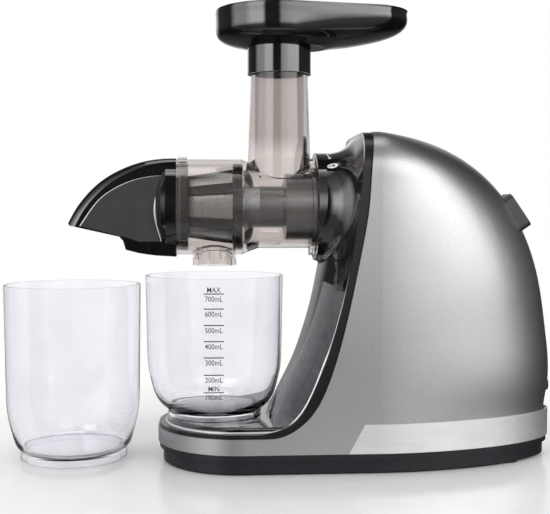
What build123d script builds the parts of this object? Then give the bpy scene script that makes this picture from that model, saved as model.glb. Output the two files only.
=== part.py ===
from build123d import *
import os
from math import acos, atan2, cos, degrees, hypot, pi, radians, sin, sqrt, tan

# Cold press juicer: a horizontal auger turns slowly inside a clear twist-lock drum. The drum sits
# in the neck of a hooded body that holds the motor and a two-stage gear train.
# Millimetres. +Z is up, +X runs from the pulp beak to the back of the body, and -Y is the side
# that faces the user. Along X, every size below is measured from the axis of the feed tube.
# Each node is moved by CENTRE_X at export, so the origin is the middle of the footprint.

# ---------------------------------------------------------------- driving dimensions
WALL = 2.5                  # moulded walls of the body
FIT = 0.4                   # gap between curved faces that turn or pull apart
RUN = 0.05                  # radial clearance of a shaft in its bearing
AXIS_Z = 200.0              # height of the drum and auger axis

# body seen from above
BODY_HALF_WIDTH = 65.0
FRONT_NOSE_X = -96.4
HOOD_START_X = 72.0         # the hood's rear slope begins here
REAR_X = 219.2
PLAN_POWER = 1.8
PLAN_ROOT = 0.6

# body seen from the side
HOOD_RISE = 57.1            # crown of the hood above the drum axis
HOOD_EDGE_RADIUS = 28.0
REAR_POWER = 3.506
REAR_ROOT = 0.4765
BASE_TOP_Z = 16.0
SKIRT_TOP_Z = 28.0          # top of the silver skirt round the platform
TRIM_TOP_Z = 38.0
TRIM_DEPTH = 1.5
TRIM_START_X = 47.5
TRIM_LEAN = 12.0

# black front cover
COVER_FLANGE = 2.0          # the cover's edge tucks this far behind its bead line
COVER_DROP = 2.4            # its crown lies this far under the hood's
COVER_EDGE_RADIUS = 24.0
NECK_RADIUS = 42.7
NECK_BORE = 39.0
NECK_FACE_X = 27.8
BULKHEAD_THICKNESS = 4.0
SEAT_Z = 35.0               # the juice cup stands at this height
PLATFORM_INSET = 7.0
PLATFORM_EDGE_RADIUS = 4.0
STRIP_RECESS = 3.0          # the edge strip's flanks lie this far inside the silver ones
STRIP_DROP = 0.6
STRIP_INSET = 1.0
STRIP_GAP = 0.3
STRIP_TOP_Z = 31.0
POST_RADIUS = 4.5
POST_CIRCLE_RADIUS = 33.0

# base tray and feet
BASE_BOTTOM_Z = 1.5
BASE_INSET = 1.2
BASE_STEP_INSET = 4.0
BASE_STEP_Z = 11.5
FOOT_RADIUS = 8.0
FOOT_STEM_RADIUS = 3.0
FOOT_HEAD_RADIUS = 4.5
VENT_WIDTH = 3.0
VENT_LENGTH = 44.0
VENT_PITCH = 7.0
VENTS = 7
BOSS_RADIUS = 5.0
BOSS_TOP_Z = 27.5
BOSS_INSET = 13.0           # from the body's outline to a boss's centre
FRONT_FOOT_INSET = 34.4
REAR_FOOT_INSET = 41.2
FOOT_SIDE_INSET = 37.0

# clear drum
DRUM_WALL = 3.0
CHAMBER_RADIUS = 37.5
CHAMBER_FRONT_X = -81.0
CHAMBER_REAR_X = -30.0
FEED_RADIUS = 32.6
FEED_FRONT_X = -17.0
TUBE_TOP_RADIUS = 22.6
TUBE_STRAIGHT = 26.0        # the tray's collar slides over this much straight tube
TUBE_FOOT_RADIUS = 24.7
TUBE_FOOT_RISE = 38.0       # the taper starts this far above the axis
TUBE_BORE_RADIUS = 19.5
SPOUT_X = -51.5
SPOUT_LIP_RADIUS = 17.2
SPOUT_RADIUS = 15.8
SPOUT_BORE = 13.6
SPOUT_DROP = 46.0           # the spout's mouth below the axis
SPOUT_LIP_HEIGHT = 5.0
SPOUT_RIBS = 10
LUG_HEIGHT = 4.0
LUG_LENGTH = 4.0
LUG_WIDTH_DEG = 24.0
LUGS = 3
UNLOCK_DEG = 45.0
FLANGE_RADIUS = 34.6
FLANGE_TAB_RADIUS = 38.5
FLANGE_THICKNESS = 3.4
TAB_RADIUS = 39.4
REAR_HOLE_RADIUS = 16.0
MAGNET_RADIUS = 2.5
MAGNET_CIRCLE_RADIUS = 24.0

# strainer
STRAINER_FRONT_X = -72.3
STRAINER_REAR_X = -36.7
STRAINER_FRONT_R = 21.6
STRAINER_REAR_R = 26.7
STRAINER_RING = 5.2
STRAINER_RIB = 2.0
MESH_THICKNESS = 0.5
MESH_GAP = 0.2
WINDOWS = 6
WINDOW_DEG = 43.0

# auger
AUGER_FRONT_X = -76.0
AUGER_DISC_X = 24.0
AUGER_DISC_THICKNESS = 4.5
AUGER_CORE_RADIUS = 14.7
AUGER_TIP_RADIUS = 26.2
AUGER_PITCH = 15.3
LOW_TIP_RADIUS = 16.4       # the flight stays low between the strainer and the feed tube
FLIGHT_ROOT_WIDTH = 10.5
FLIGHT_TIP_WIDTH = 4.8
LOBE_X = 8.6                # the first deep flight points straight down here
NOSE_RADIUS = 5.0
NOSE_END_RADIUS = 11.0
HUB_RADIUS = 9.5
DRIVE_HEX = 13.6            # across flats
HEX_GAP = 0.2
INSERT_FRONT_X = 4.0
INSERT_REAR_X = 57.0
SEAL_RADIUS = 20.0

# end cap
CAP_RING_RADIUS = 37.4
CAP_RING_FRONT_X = -89.0
CAP_WALL = 2.8
CAP_SPIGOT_LENGTH = 2.6
CAP_SPIGOT_BORE = 30.5
BEAK_HALF_WIDTH = 24.0
BEAK_EDGE_RADIUS = 8.0
CHEEK_START_X = -97.4
DOME_STEPS = [(-3.4, -3.5), (-6.5, -8.5)]   # (x, radius) from the ring's front edge
# side view of the beak, as (x, height from the axis)
BEAK_TIP = (-164.0, -12.5)
BEAK_BACK = [(CHAMBER_FRONT_X, 37.4), (-93.4, 36.9), (-109.0, 34.1), (-124.7, 28.1), (-140.4, 18.3),
             (-155.0, 2.8)]
BEAK_UNDERSIDE = [(-124.3, -23.0), (-121.5, -26.2), (-119.5, -33.0), (-109.5, -35.6), (-97.7, -37.4),
                  (CHAMBER_FRONT_X, -38.4)]
GRIP_GROOVE_X = -98.8       # upright groove between the two finger lugs under the cap
GRIP_GROOVE_WIDTH = 4.6
GRIP_GROOVE_DEPTH = 1.6
GRIP_TOP = -26.0
PARTITION_X = -88.0
BUSH_RADIUS = 7.5
BUSH_BOSS_RADIUS = 9.5
BUSH_FRONT_X = -87.0
OUTLET_RADIUS = 19.0
SPOKE_WIDTH = 5.0
MOUTH_FRONT_X = -155.0
MOUTH_REAR_X = -126.0
GASKET_THICKNESS = 0.8

# feed tray
TRAY_TOP_Z = 353.4
TRAY_HEIGHT = 28.1
TRAY_LEFT_X = -50.0
TRAY_RIGHT_X = 102.0
TRAY_LEFT_RADIUS = 48.0
TRAY_RIGHT_RADIUS = 37.0
KEEL_LEFT_RADIUS = 26.0     # the same two rounds at the tray's underside
KEEL_RIGHT_RADIUS = 20.0
KEEL_LEFT_X = 2.0           # and their centres there
KEEL_RIGHT_X = 14.0
TRAY_TURN = 4.0             # power of the curve from the keel up into the wall
LEFT_UPRIGHT = 0.53         # the wide end stands upright above this share of the height
TRAY_WALL = 2.5
COLLAR_RADIUS = 25.1
COLLAR_LENGTH = 21.0
TRAY_SEAT = 1.3             # the tube's mouth lies this far under the tray's lowest level

# cups
CUP_WALL = 2.4
JUICE_CUP_X = -51.6
JUICE_CUP_RIM_R = 54.4
JUICE_CUP_HEIGHT = 111.0
JUICE_CUP_RING_R = 37.0
JUICE_CUP_RING_H = 5.0
JUICE_CUP_SHOULDER = 8.0    # how far the wall has turned in, 11 mm above the ring
PULP_CUP_X = -164.5
PULP_CUP_Y = 11.2
PULP_CUP_RIM_R = 53.8
PULP_CUP_HEIGHT = 138.4
PULP_CUP_RING_R = 42.0
PULP_CUP_RING_H = 7.0
PULP_CUP_SHOULDER = 6.4

# gear train, all spur gears with 25 degree flanks
PRESSURE_DEG = 25.0
BACKLASH = 0.12
PINION_TEETH = 12
WHEEL_TEETH = 60
SLOW_MODULE = 1.5
FAST_MODULE = 1.0
OUTPUT_WHEEL_X = 64.0
OUTPUT_WHEEL_WIDTH = 16.0
SLOW_PINION_X = 61.0
FAST_WHEEL_X = 84.0
FAST_WHEEL_WIDTH = 8.0
MOTOR_PINION_X = 82.5
MOTOR_PINION_WIDTH = 11.0
GEARBOX_FRONT_X = 57.0
GEARBOX_REAR_X = 97.0
GEARBOX_WALL = 3.0
GEARBOX_SLANT = 6.5         # the round over the output wheel is coned at its front, under the brow
TOOTH_GAP = 2.0             # room between tooth tips and the gearbox wall
EAR_RADIUS = 5.0

# shafts and bearings
OUTPUT_SHAFT_RADIUS = 12.0
OUTPUT_TAIL_RADIUS = 8.0
AXLE_RADIUS = 4.0
MOTOR_SHAFT_RADIUS = 4.0
SHAFT_SEAL_WIDTH = 2.5
BEARING_DEPTH = 5.5         # from a bearing's bore to its rim
BEARING_WIDTH = 7.0

# motor
STATOR_RADIUS = 42.0
STATOR_BORE = 23.0
STATOR_LENGTH = 32.0
STATOR_SLOTS = 12
AIR_GAP = 0.5
COIL_LENGTH = 9.0
COIL_INNER_RADIUS = 26.0
COIL_OUTER_RADIUS = 36.0
BELL_LENGTH = 16.0
BELL_WALL = 3.0
BELL_VENT_RADIUS = 4.0
BELL_VENT_CIRCLE = 25.0
BOLT_CIRCLE_RADIUS = 38.6
FAN_RADIUS = 34.0
FAN_HUB_RADIUS = 9.0
FAN_LENGTH = 10.0
FAN_BLADES = 9
CRADLE_SHEET = 3.0
CRADLE_HALF_WIDTH = 32.0
DAMPER_RADIUS = 6.0
DAMPER_HEIGHT = 7.0

# control board
BOARD_FRONT_X = 154.0
BOARD_REAR_X = 194.0
BOARD_HALF_WIDTH = 21.0
BOARD_Z = 24.0
BOARD_THICKNESS = 1.6
STANDOFF_RADIUS = 3.0

# control bezel and rocker switch on the back slope
BEZEL_X = 192.6
BEZEL_Z = 198.0
BEZEL_SLOPE_DEG = 55.5      # the plate leans back from level by this much
BEZEL_LENGTH = 30.0
BEZEL_WIDTH = 27.0
BEZEL_DEPTH = 13.0
BEZEL_CORNER = 4.0
ROCKER_LENGTH = 20.0
ROCKER_WIDTH = 13.0
ROCKER_DEPTH = 3.0
ROCKER_RISE = 1.6
SWITCH_TOP = 5.2            # the switch body starts this far under the plate
SWITCH_DEPTH = 20.0

# cord gland
GLAND_Z = 56.0
GLAND_RADIUS = 5.0
GLAND_FLANGE_RADIUS = 7.5
GLAND_LENGTH = 12.0
CORD_BORE = 3.4

# screws
SCREW_RADIUS = 1.5
SCREW_HEAD_RADIUS = 3.0
SCREW_HEAD_HEIGHT = 2.2

# ---------------------------------------------------------------- derived places
CENTRE_X = (REAR_X + PULP_CUP_X - PULP_CUP_RIM_R) / 2
HOOD_REACH = REAR_X - HOOD_START_X
HOOD_TOP_Z = AXIS_Z + HOOD_RISE
NOSE_CENTRE_X = FRONT_NOSE_X + BODY_HALF_WIDTH
COVER_HALF_WIDTH = BODY_HALF_WIDTH - PLATFORM_INSET
COVER_TOP_Z = HOOD_TOP_Z - COVER_DROP
STRIP_HALF_WIDTH = BODY_HALF_WIDTH - STRIP_RECESS
STRIP_TOP = HOOD_TOP_Z - STRIP_DROP
TRAY_BOTTOM_Z = TRAY_TOP_Z - TRAY_HEIGHT
COLLAR_BOTTOM_Z = TRAY_BOTTOM_Z - COLLAR_LENGTH
TUBE_TOP_Z = TRAY_BOTTOM_Z - TRAY_SEAT
TUBE_FOOT_Z = AXIS_Z + TUBE_FOOT_RISE
SPOUT_BOTTOM_Z = AXIS_Z - SPOUT_DROP
FLOOR_Z = BASE_BOTTOM_Z + WALL
SLOW_CENTRES = SLOW_MODULE * (PINION_TEETH + WHEEL_TEETH) / 2
FAST_CENTRES = FAST_MODULE * (PINION_TEETH + WHEEL_TEETH) / 2
AXLE_Z = AXIS_Z - SLOW_CENTRES
MOTOR_Z = AXLE_Z - FAST_CENTRES
FEED_BORE = FEED_RADIUS - DRUM_WALL
CHAMBER_BORE = CHAMBER_RADIUS - DRUM_WALL
SPIGOT_RADIUS = FEED_RADIUS - 1.0
SOCKET_BORE = SPIGOT_RADIUS + FIT
LUG_RADIUS = SPIGOT_RADIUS + LUG_HEIGHT
GROOVE_RADIUS = LUG_RADIUS + FIT
SOCKET_LIP = 3.0
LUG_X = NECK_FACE_X + SOCKET_LIP + FIT
SPIGOT_END_X = LUG_X + LUG_LENGTH
BULKHEAD_X = SPIGOT_END_X + 2 * FIT
BULKHEAD_REAR_X = BULKHEAD_X + BULKHEAD_THICKNESS
SHAFT_FRONT_X = BULKHEAD_X + 0.5
CAP_FACE_X = CHAMBER_FRONT_X + CAP_SPIGOT_LENGTH
STRAINER_NOSE_X = STRAINER_FRONT_X - STRAINER_RING
STRAINER_TAIL_X = CHAMBER_REAR_X - FIT
WHEEL_ROOM = SLOW_MODULE * (WHEEL_TEETH / 2 + 1) + TOOTH_GAP
IDLER_ROOM = FAST_MODULE * (WHEEL_TEETH / 2 + 1) + TOOTH_GAP
PINION_ROOM = FAST_MODULE * (PINION_TEETH / 2 + 1) + TOOTH_GAP
LID_REAR_X = GEARBOX_REAR_X + GEARBOX_WALL
STATOR_FRONT_X = LID_REAR_X + BELL_LENGTH
STATOR_REAR_X = STATOR_FRONT_X + STATOR_LENGTH
MOTOR_REAR_X = STATOR_REAR_X + BELL_LENGTH
FAN_X = MOTOR_REAR_X + 3.0
CRADLE_Z = FLOOR_Z + DAMPER_HEIGHT


# ---------------------------------------------------------------- shape helpers
def x_cylinder(radius, x0, x1, z=AXIS_Z, y=0.0):
    """Solid round bar along X."""
    return Pos((x0 + x1) / 2, y, z) * Rot(0, 90, 0) * Cylinder(radius, x1 - x0)


def z_cylinder(radius, x, y, z0, z1):
    """Solid round bar along Z."""
    return Pos(x, y, (z0 + z1) / 2) * Cylinder(radius, z1 - z0)


def x_ring(outer, inner, x0, x1, z=AXIS_Z, y=0.0):
    return x_cylinder(outer, x0, x1, z, y) - x_cylinder(inner, x0 - 1, x1 + 1, z, y)


def z_ring(outer, inner, x, y, z0, z1):
    return z_cylinder(outer, x, y, z0, z1) - z_cylinder(inner, x, y, z0 - 1, z1 + 1)


def block(x0, x1, y0, y1, z0, z1):
    """Box given by its two corners."""
    centre = Pos((x0 + x1) / 2, (y0 + y1) / 2, (z0 + z1) / 2)
    return centre * Box(x1 - x0, y1 - y0, z1 - z0)


def turned_x(profile, z=AXIS_Z):
    """Body of revolution about an axis along X, from (x, radius) corners."""
    outline = Polyline(*[(x, 0, z + r) for x, r in profile], close=True)
    return revolve(make_face(outline), axis=Axis((0, 0, z), (1, 0, 0)))


def side_prism(edges, half_width):
    """Prism across the body from a closed outline in the XZ plane."""
    face = Pos(0, -half_width, 0) * make_face(edges)
    return extrude(face, amount=2 * half_width, dir=(0, 1, 0))


def cross_prism(edges, x0, x1):
    """Prism along X from a closed outline in the YZ plane at x = 0."""
    return extrude(Pos(x0, 0, 0) * make_face(edges), amount=x1 - x0, dir=(1, 0, 0))


def about_x(shape, angle, z=AXIS_Z):
    """Turn a shape about the X axis at height z."""
    return Pos(0, 0, z) * Rot(angle, 0, 0) * Pos(0, 0, -z) * shape


def x_sector(outer, x0, x1, width_deg, at_deg, z=AXIS_Z):
    """Wedge of a bar along X, width_deg wide, centred at_deg round from straight up."""
    half = radians(width_deg / 2)
    far = 2 * outer
    tip = [(0, 0, z), (0, far * tan(half), z + far), (0, -far * tan(half), z + far)]
    wedge = cross_prism([Polyline(*tip, close=True)], x0, x1)
    return about_x(wedge & x_cylinder(outer, x0, x1, z), at_deg, z)


def hex_bar(across_flats, x0, x1, z=AXIS_Z):
    bar = extrude(RegularPolygon(across_flats / sqrt(3), 6), amount=x1 - x0)
    return Pos(x0, 0, z) * Rot(0, 90, 0) * bar


def screw_x(x_head, y, z, length, way=1):
    """Screw along X: the shank runs from x_head in the direction of way."""
    reach = sorted([x_head, x_head + way * length])
    cap = sorted([x_head, x_head - way * SCREW_HEAD_HEIGHT])
    return x_cylinder(SCREW_RADIUS, *reach, z, y) + x_cylinder(SCREW_HEAD_RADIUS, *cap, z, y)


def screw_z(x, y, z_head, length):
    """Screw that runs up from its head."""
    shank = z_cylinder(SCREW_RADIUS, x, y, z_head, z_head + length)
    return shank + z_cylinder(SCREW_HEAD_RADIUS, x, y, z_head - SCREW_HEAD_HEIGHT, z_head)


def blend_points(value, points):
    """Straight-line blend between listed (value, result) points."""
    for (low, at_low), (high, at_high) in zip(points, points[1:]):
        if value <= high:
            return at_low + (at_high - at_low) * (value - low) / (high - low)
    return points[-1][1]


# ---------------------------------------------------------------- body forms
def rear_x(z, inset):
    """How far back the hood reaches at height z."""
    share = min(z / (HOOD_TOP_Z - inset), 1.0)
    return HOOD_START_X + (HOOD_REACH - inset) * (1 - share ** REAR_POWER) ** REAR_ROOT


def arch_half_width(z, half_width, top, radius):
    """Half the width of a round-shouldered arch at height z."""
    rise = z - (top - radius)
    if rise <= 0:
        return half_width
    return half_width - radius + sqrt(max(radius ** 2 - rise ** 2, 0))


def hood_section(z, inset, front_x):
    """Level outline of the hood at height z: straight flanks and a tapering tail."""
    half = arch_half_width(z, BODY_HALF_WIDTH - inset, HOOD_TOP_Z - inset, HOOD_EDGE_RADIUS - inset)
    reach = rear_x(z, inset) - HOOD_START_X
    steps = 8
    near = []
    for step in range(steps):
        turn = radians(90 * step / steps)
        x = HOOD_START_X + reach * sin(turn) ** (2 / PLAN_POWER)
        near.append((x, -half * cos(turn) ** (2 * PLAN_ROOT), z))
    far = [(x, -y, z) for x, y, z in reversed(near)]
    tail = Spline(*near, (HOOD_START_X + reach, 0, z), *far, tangents=[(1, 0, 0), (-1, 0, 0)])
    rest = Polyline(far[-1], (front_x, half, z), (front_x, -half, z), near[0])
    return make_face([tail, rest])


def hood_form(inset, front_x, bottom_z):
    """Whole hood as a solid, set in from the outside by inset."""
    radius = HOOD_EDGE_RADIUS - inset
    shoulder = HOOD_TOP_Z - inset - radius
    straight = (0, 0.2, 0.4, 0.6, 0.75, 0.87, 0.95, 1)
    levels = [bottom_z + (shoulder - bottom_z) * share for share in straight]
    levels += [shoulder + radius * sin(radians(turn)) for turn in (16, 32, 46, 58, 69, 79)]
    return loft([hood_section(z, inset, front_x) for z in levels])


def platform_form(inset, z0, z1, rear_end=HOOD_START_X):
    """Round-nosed platform that runs forward from under the hood."""
    half = BODY_HALF_WIDTH - inset
    nose = z_cylinder(half, NOSE_CENTRE_X, 0, z0, z1)
    return nose + block(NOSE_CENTRE_X, rear_end, -half, half, z0, z1)


def footprint(inset, z0, z1):
    """The whole body's outline near the floor, as a level slab."""
    tail = extrude(hood_section(BASE_TOP_Z, inset, 0), amount=z1 - z0, dir=(0, 0, 1))
    return platform_form(inset, z0, z1) + Pos(0, 0, z0 - BASE_TOP_Z) * tail


def shell_edge():
    """Front edge of the silver housing, seen from the side, from the top down to the skirt."""
    points = [(67.5, 0, HOOD_TOP_Z + 4), (64.8, 0, AXIS_Z + 36), (62.2, 0, AXIS_Z),
              (56.9, 0, AXIS_Z - 32.3), (45.5, 0, 113), (33.2, 0, 70.7), (16, 0, 40.8),
              (-4, 0, SKIRT_TOP_Z + 1), (-22, 0, SKIRT_TOP_Z)]
    return Spline(*points, tangents=[(-0.05, 0, -1), (-1, 0, 0)])


def bead_x(z):
    """Where the front cover's rear edge is at height z, seen from the side."""
    return blend_points(z, [(SEAT_Z - 6, -9.0), (38.5, 5.5), (46, 12.5), (60, 20.2), (78, 27.2),
                            (97, 34.6), (123, 42), (AXIS_Z - 51, 47.9), (AXIS_Z - 25, 52.3),
                            (AXIS_Z + 12, 56.7), (HOOD_TOP_Z, 60.5)])


def bead_edge():
    """Rear edge of the black front cover as a curve, from the top down."""
    levels = [AXIS_Z + 25, AXIS_Z - 6, AXIS_Z - 51, 97, 60, 46, 38.5]
    top = (60.8, 0, HOOD_TOP_Z + 4)
    end = (-30, 0, STRIP_TOP_Z)
    points = [(bead_x(z), 0, z) for z in levels]
    return Spline(top, *points, (-12, 0, STRIP_TOP_Z + 0.6), end, tangents=[(-0.05, 0, -1), (-1, 0, 0)])


def cover_front_x(z):
    """Where the middle of the cover's bowed front is at height z."""
    return blend_points(z, [(SEAT_Z - 6, -10.3), (38.5, -9.3), (46, -5.5), (55, -1.0), (63, 3.0),
                            (75.8, 9.5), (97.5, 17.5), (125, 25.5), (AXIS_Z - 50, 30.5),
                            (AXIS_Z - 25, 35), (AXIS_Z + 25, 42), (AXIS_Z + NECK_RADIUS, 52),
                            (COVER_TOP_Z, 59.5)])


def cover_section(z, inset, flange):
    """Level outline of the front cover: a bowed front, then a straight flange behind its edge."""
    half = arch_half_width(z, COVER_HALF_WIDTH - inset, COVER_TOP_Z - inset, COVER_EDGE_RADIUS - inset)
    side = bead_x(z)
    front = min(cover_front_x(z) + inset, side - 0.5)
    bow = ThreePointArc((side, -half, z), (front, 0, z), (side, half, z))
    rest = Polyline(bow @ 1, (side + flange, half, z), (side + flange, -half, z), bow @ 0)
    return make_face([bow, rest])


def column_form(inset, flange):
    """Bowed column of the front cover, from the platform up to the brow."""
    top = COVER_TOP_Z - inset - 0.4
    levels = [SEAT_Z - 6, 38.5, 46, 60, 78, 97, 123]
    levels += [AXIS_Z + rise for rise in (-51, -25, 5, 28, 39, 47)]
    return loft([cover_section(z, inset, flange) for z in [*levels, top]])


def ahead_of(edge):
    """Everything in front of and above an edge curve, as a prism across the body."""
    far_x = FRONT_NOSE_X - 20
    top = edge @ 0
    end = edge @ 1
    rest = Polyline(end, (far_x, 0, end.Z), (far_x, 0, top.Z), top)
    return side_prism([edge, rest], BODY_HALF_WIDTH + 10)


def arch_prism(half_width, top_z, radius, x0, x1):
    """Round-shouldered arch along X, open to below the floor."""
    low = -10
    foot = Polyline((0, half_width, top_z - radius), (0, half_width, low), (0, -half_width, low),
                    (0, -half_width, top_z - radius))
    middle = radius * (1 - sqrt(0.5))
    left = ThreePointArc(foot @ 1, (0, -half_width + middle, top_z - middle),
                         (0, -half_width + radius, top_z))
    crown = Line(left @ 1, (0, half_width - radius, top_z))
    right = ThreePointArc(crown @ 1, (0, half_width - middle, top_z - middle), foot @ 0)
    return cross_prism([foot, left, crown, right], x0, x1)


# ---------------------------------------------------------------- housing
FOOT_PLACES = [(x, side * (BODY_HALF_WIDTH - FOOT_SIDE_INSET))
               for x in (FRONT_NOSE_X + FRONT_FOOT_INSET, REAR_X - REAR_FOOT_INSET) for side in (-1, 1)]
BOSS_PLACES = [(x, side * (BODY_HALF_WIDTH - BOSS_INSET)) for x in (-20, 84) for side in (-1, 1)]
BOSS_PLACES += [(FRONT_NOSE_X + BOSS_INSET, 0), (REAR_X - BOSS_INSET, 0)]
POST_ANGLES = (45, 135, 225, 315)


def bezel_place():
    """Place on the back slope: local z points out of the plate, local x runs down the slope."""
    return Pos(BEZEL_X, 0, BEZEL_Z) * Rot(0, BEZEL_SLOPE_DEG, 0)


def bezel_block(top):
    """Rounded block of the control bezel, in its own place."""
    outline = RectangleRounded(BEZEL_LENGTH, BEZEL_WIDTH, BEZEL_CORNER)
    return Pos(0, 0, -BEZEL_DEPTH) * extrude(outline, amount=BEZEL_DEPTH + top)


def trim_zone():
    """Region of the bright band: it starts at a leaning front end and wraps the tail."""
    rear = REAR_X + 10
    outline = Polyline((TRIM_START_X, 0, BASE_TOP_Z), (TRIM_START_X + TRIM_LEAN, 0, TRIM_TOP_Z),
                       (rear, 0, TRIM_TOP_Z), (rear, 0, BASE_TOP_Z), close=True)
    return side_prism([outline], BODY_HALF_WIDTH + 10)


def make_trim_band():
    ring = footprint(0, BASE_TOP_Z, TRIM_TOP_Z) - footprint(TRIM_DEPTH, BASE_TOP_Z - 1, TRIM_TOP_Z + 1)
    return ring & trim_zone()


def make_silver_housing():
    outer = hood_form(0, 0, BASE_TOP_Z) + platform_form(0, BASE_TOP_Z, SEAT_Z)
    inner = hood_form(WALL, -10, BASE_TOP_Z - 6) + platform_form(WALL, BASE_TOP_Z - 6, SEAT_Z + 10)
    shell = outer - inner - ahead_of(shell_edge())
    groove = footprint(-5, BASE_TOP_Z - 1, TRIM_TOP_Z) - footprint(TRIM_DEPTH, 0, TRIM_TOP_Z + 1)
    shell -= groove & trim_zone()
    shell -= bezel_place() * bezel_block(10)
    shell -= x_cylinder(GLAND_RADIUS, REAR_X - GLAND_LENGTH, REAR_X + 5, GLAND_Z)
    for x, y in BOSS_PLACES:
        shell += housing_boss(x, y)
    return shell


def housing_boss(x, y):
    """Screw boss inside the housing, tied to the wall by a rib above the base tray."""
    boss = z_ring(BOSS_RADIUS, SCREW_RADIUS, x, y, FLOOR_Z, BOSS_TOP_Z)
    reach = BODY_HALF_WIDTH - WALL + 0.5
    if y:
        side = y / abs(y)
        ends = sorted([y + side * (BOSS_RADIUS - 1), side * reach])
        return boss + block(x - 1, x + 1, *ends, BASE_TOP_Z + 1, BOSS_TOP_Z)
    wall_x = NOSE_CENTRE_X - reach if x < 0 else REAR_X - WALL + 0.5
    step = BOSS_RADIUS - 1 if x > 0 else 1 - BOSS_RADIUS
    ends = sorted([x + step, wall_x])
    return boss + block(*ends, -1, 1, BASE_TOP_Z + 1, BOSS_TOP_Z)


def make_front_cover():
    """Column, neck and cup platform in one moulding, hollow from behind and below."""
    hollow = column_form(WALL, COVER_FLANGE + 30)
    neck_middle = (NECK_BORE + NECK_RADIUS) / 2
    cover = column_form(0, COVER_FLANGE) - hollow
    cover -= x_cylinder(neck_middle, NECK_FACE_X - 1, HOOD_START_X)
    cover += x_ring(NECK_RADIUS, NECK_BORE, NECK_FACE_X, bead_x(COVER_TOP_Z)) - hollow
    seal = OUTPUT_SHAFT_RADIUS + SHAFT_SEAL_WIDTH
    cover += x_ring(neck_middle, seal, BULKHEAD_X, BULKHEAD_REAR_X)
    plate = platform_form(PLATFORM_INSET, SKIRT_TOP_Z, SEAT_Z, 8)
    rim = plate.edges().filter_by_position(Axis.Z, SEAT_Z - 0.1, SEAT_Z + 0.1)
    plate = fillet(rim.filter_by_position(Axis.X, FRONT_NOSE_X, 7), PLATFORM_EDGE_RADIUS)
    plate -= platform_form(PLATFORM_INSET + WALL, SKIRT_TOP_Z - 1, SEAT_Z - WALL, 5.5)
    cover += plate - hollow
    for y, z in post_places():
        cover += x_ring(POST_RADIUS, SCREW_RADIUS, BULKHEAD_REAR_X - 1, GEARBOX_FRONT_X, z, y)
    return cover


def post_places():
    """Centres of the four posts that carry the gearbox behind the bulkhead."""
    turns = [radians(angle) for angle in POST_ANGLES]
    reach = POST_CIRCLE_RADIUS
    return [(reach * cos(turn), AXIS_Z + reach * sin(turn)) for turn in turns]


def make_edge_strip():
    """Dark strip that fills the step between the front cover and the silver housing."""
    gap = STRIP_GAP
    front_x = NOSE_CENTRE_X
    outer = arch_prism(STRIP_HALF_WIDTH, STRIP_TOP, HOOD_EDGE_RADIUS - 1, front_x, HOOD_START_X)
    frame = outer - arch_prism(COVER_HALF_WIDTH + gap, COVER_TOP_Z + gap, COVER_EDGE_RADIUS + gap,
                               front_x - 1, HOOD_START_X + 1)
    strip = (frame & ahead_of(shell_edge())) - ahead_of(bead_edge())
    collar = platform_form(STRIP_INSET, SKIRT_TOP_Z - 3, STRIP_TOP_Z, 20)
    collar -= platform_form(PLATFORM_INSET, SKIRT_TOP_Z - 4, STRIP_TOP_Z + 1, 21)
    return strip + (collar & ahead_of(shell_edge()))


def make_base_tray():
    tray = footprint(BASE_INSET, BASE_STEP_Z, BASE_TOP_Z)
    tray += footprint(BASE_STEP_INSET, BASE_BOTTOM_Z, BASE_STEP_Z)
    tray -= footprint(BASE_STEP_INSET + WALL, FLOOR_Z, BASE_TOP_Z + 1)
    for x, y in FOOT_PLACES:
        tray -= z_cylinder(FOOT_STEM_RADIUS, x, y, BASE_BOTTOM_Z - 1, FLOOR_Z + 1)
    for x, y in BOSS_PLACES:
        tray -= z_cylinder(SCREW_RADIUS, x, y, BASE_BOTTOM_Z - 1, FLOOR_Z + 1)
        tray -= z_cylinder(SCREW_HEAD_RADIUS, x, y, BASE_BOTTOM_Z - 1, FLOOR_Z - 1)
    for vent in range(VENTS):
        x = STATOR_FRONT_X + VENT_PITCH * (vent - (VENTS - 1) / 2) + STATOR_LENGTH / 2
        tray -= Pos(x, 0, FLOOR_Z) * Box(VENT_WIDTH, VENT_LENGTH, 4 * WALL)
    for x, y in board_corners():
        tray += z_cylinder(STANDOFF_RADIUS, x, y, FLOOR_Z - 1, BOARD_Z)
    return tray


def make_feet():
    foot = []
    for x, y in FOOT_PLACES:
        pad = z_cylinder(FOOT_RADIUS, x, y, 0, BASE_BOTTOM_Z)
        stem = z_cylinder(FOOT_STEM_RADIUS, x, y, BASE_BOTTOM_Z, FLOOR_Z)
        head = z_cylinder(FOOT_HEAD_RADIUS, x, y, FLOOR_Z, FLOOR_Z + 1.5)
        foot.append(pad + stem + head)
    return foot


def make_base_screws():
    return [screw_z(x, y, FLOOR_Z - 1, 20) for x, y in BOSS_PLACES]


def make_socket_ring():
    """Bayonet ring in the neck: a lip with entry slots and a groove for the drum's lugs."""
    ring = x_ring(NECK_BORE, GROOVE_RADIUS, NECK_FACE_X, BULKHEAD_X)
    ring += x_ring(NECK_BORE, SOCKET_BORE, NECK_FACE_X, NECK_FACE_X + SOCKET_LIP)
    for lug in range(LUGS):
        at = UNLOCK_DEG + lug * 360 / LUGS
        ring -= x_sector(GROOVE_RADIUS, NECK_FACE_X - 1, BULKHEAD_X, LUG_WIDTH_DEG + 4, at)
    return ring


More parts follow.
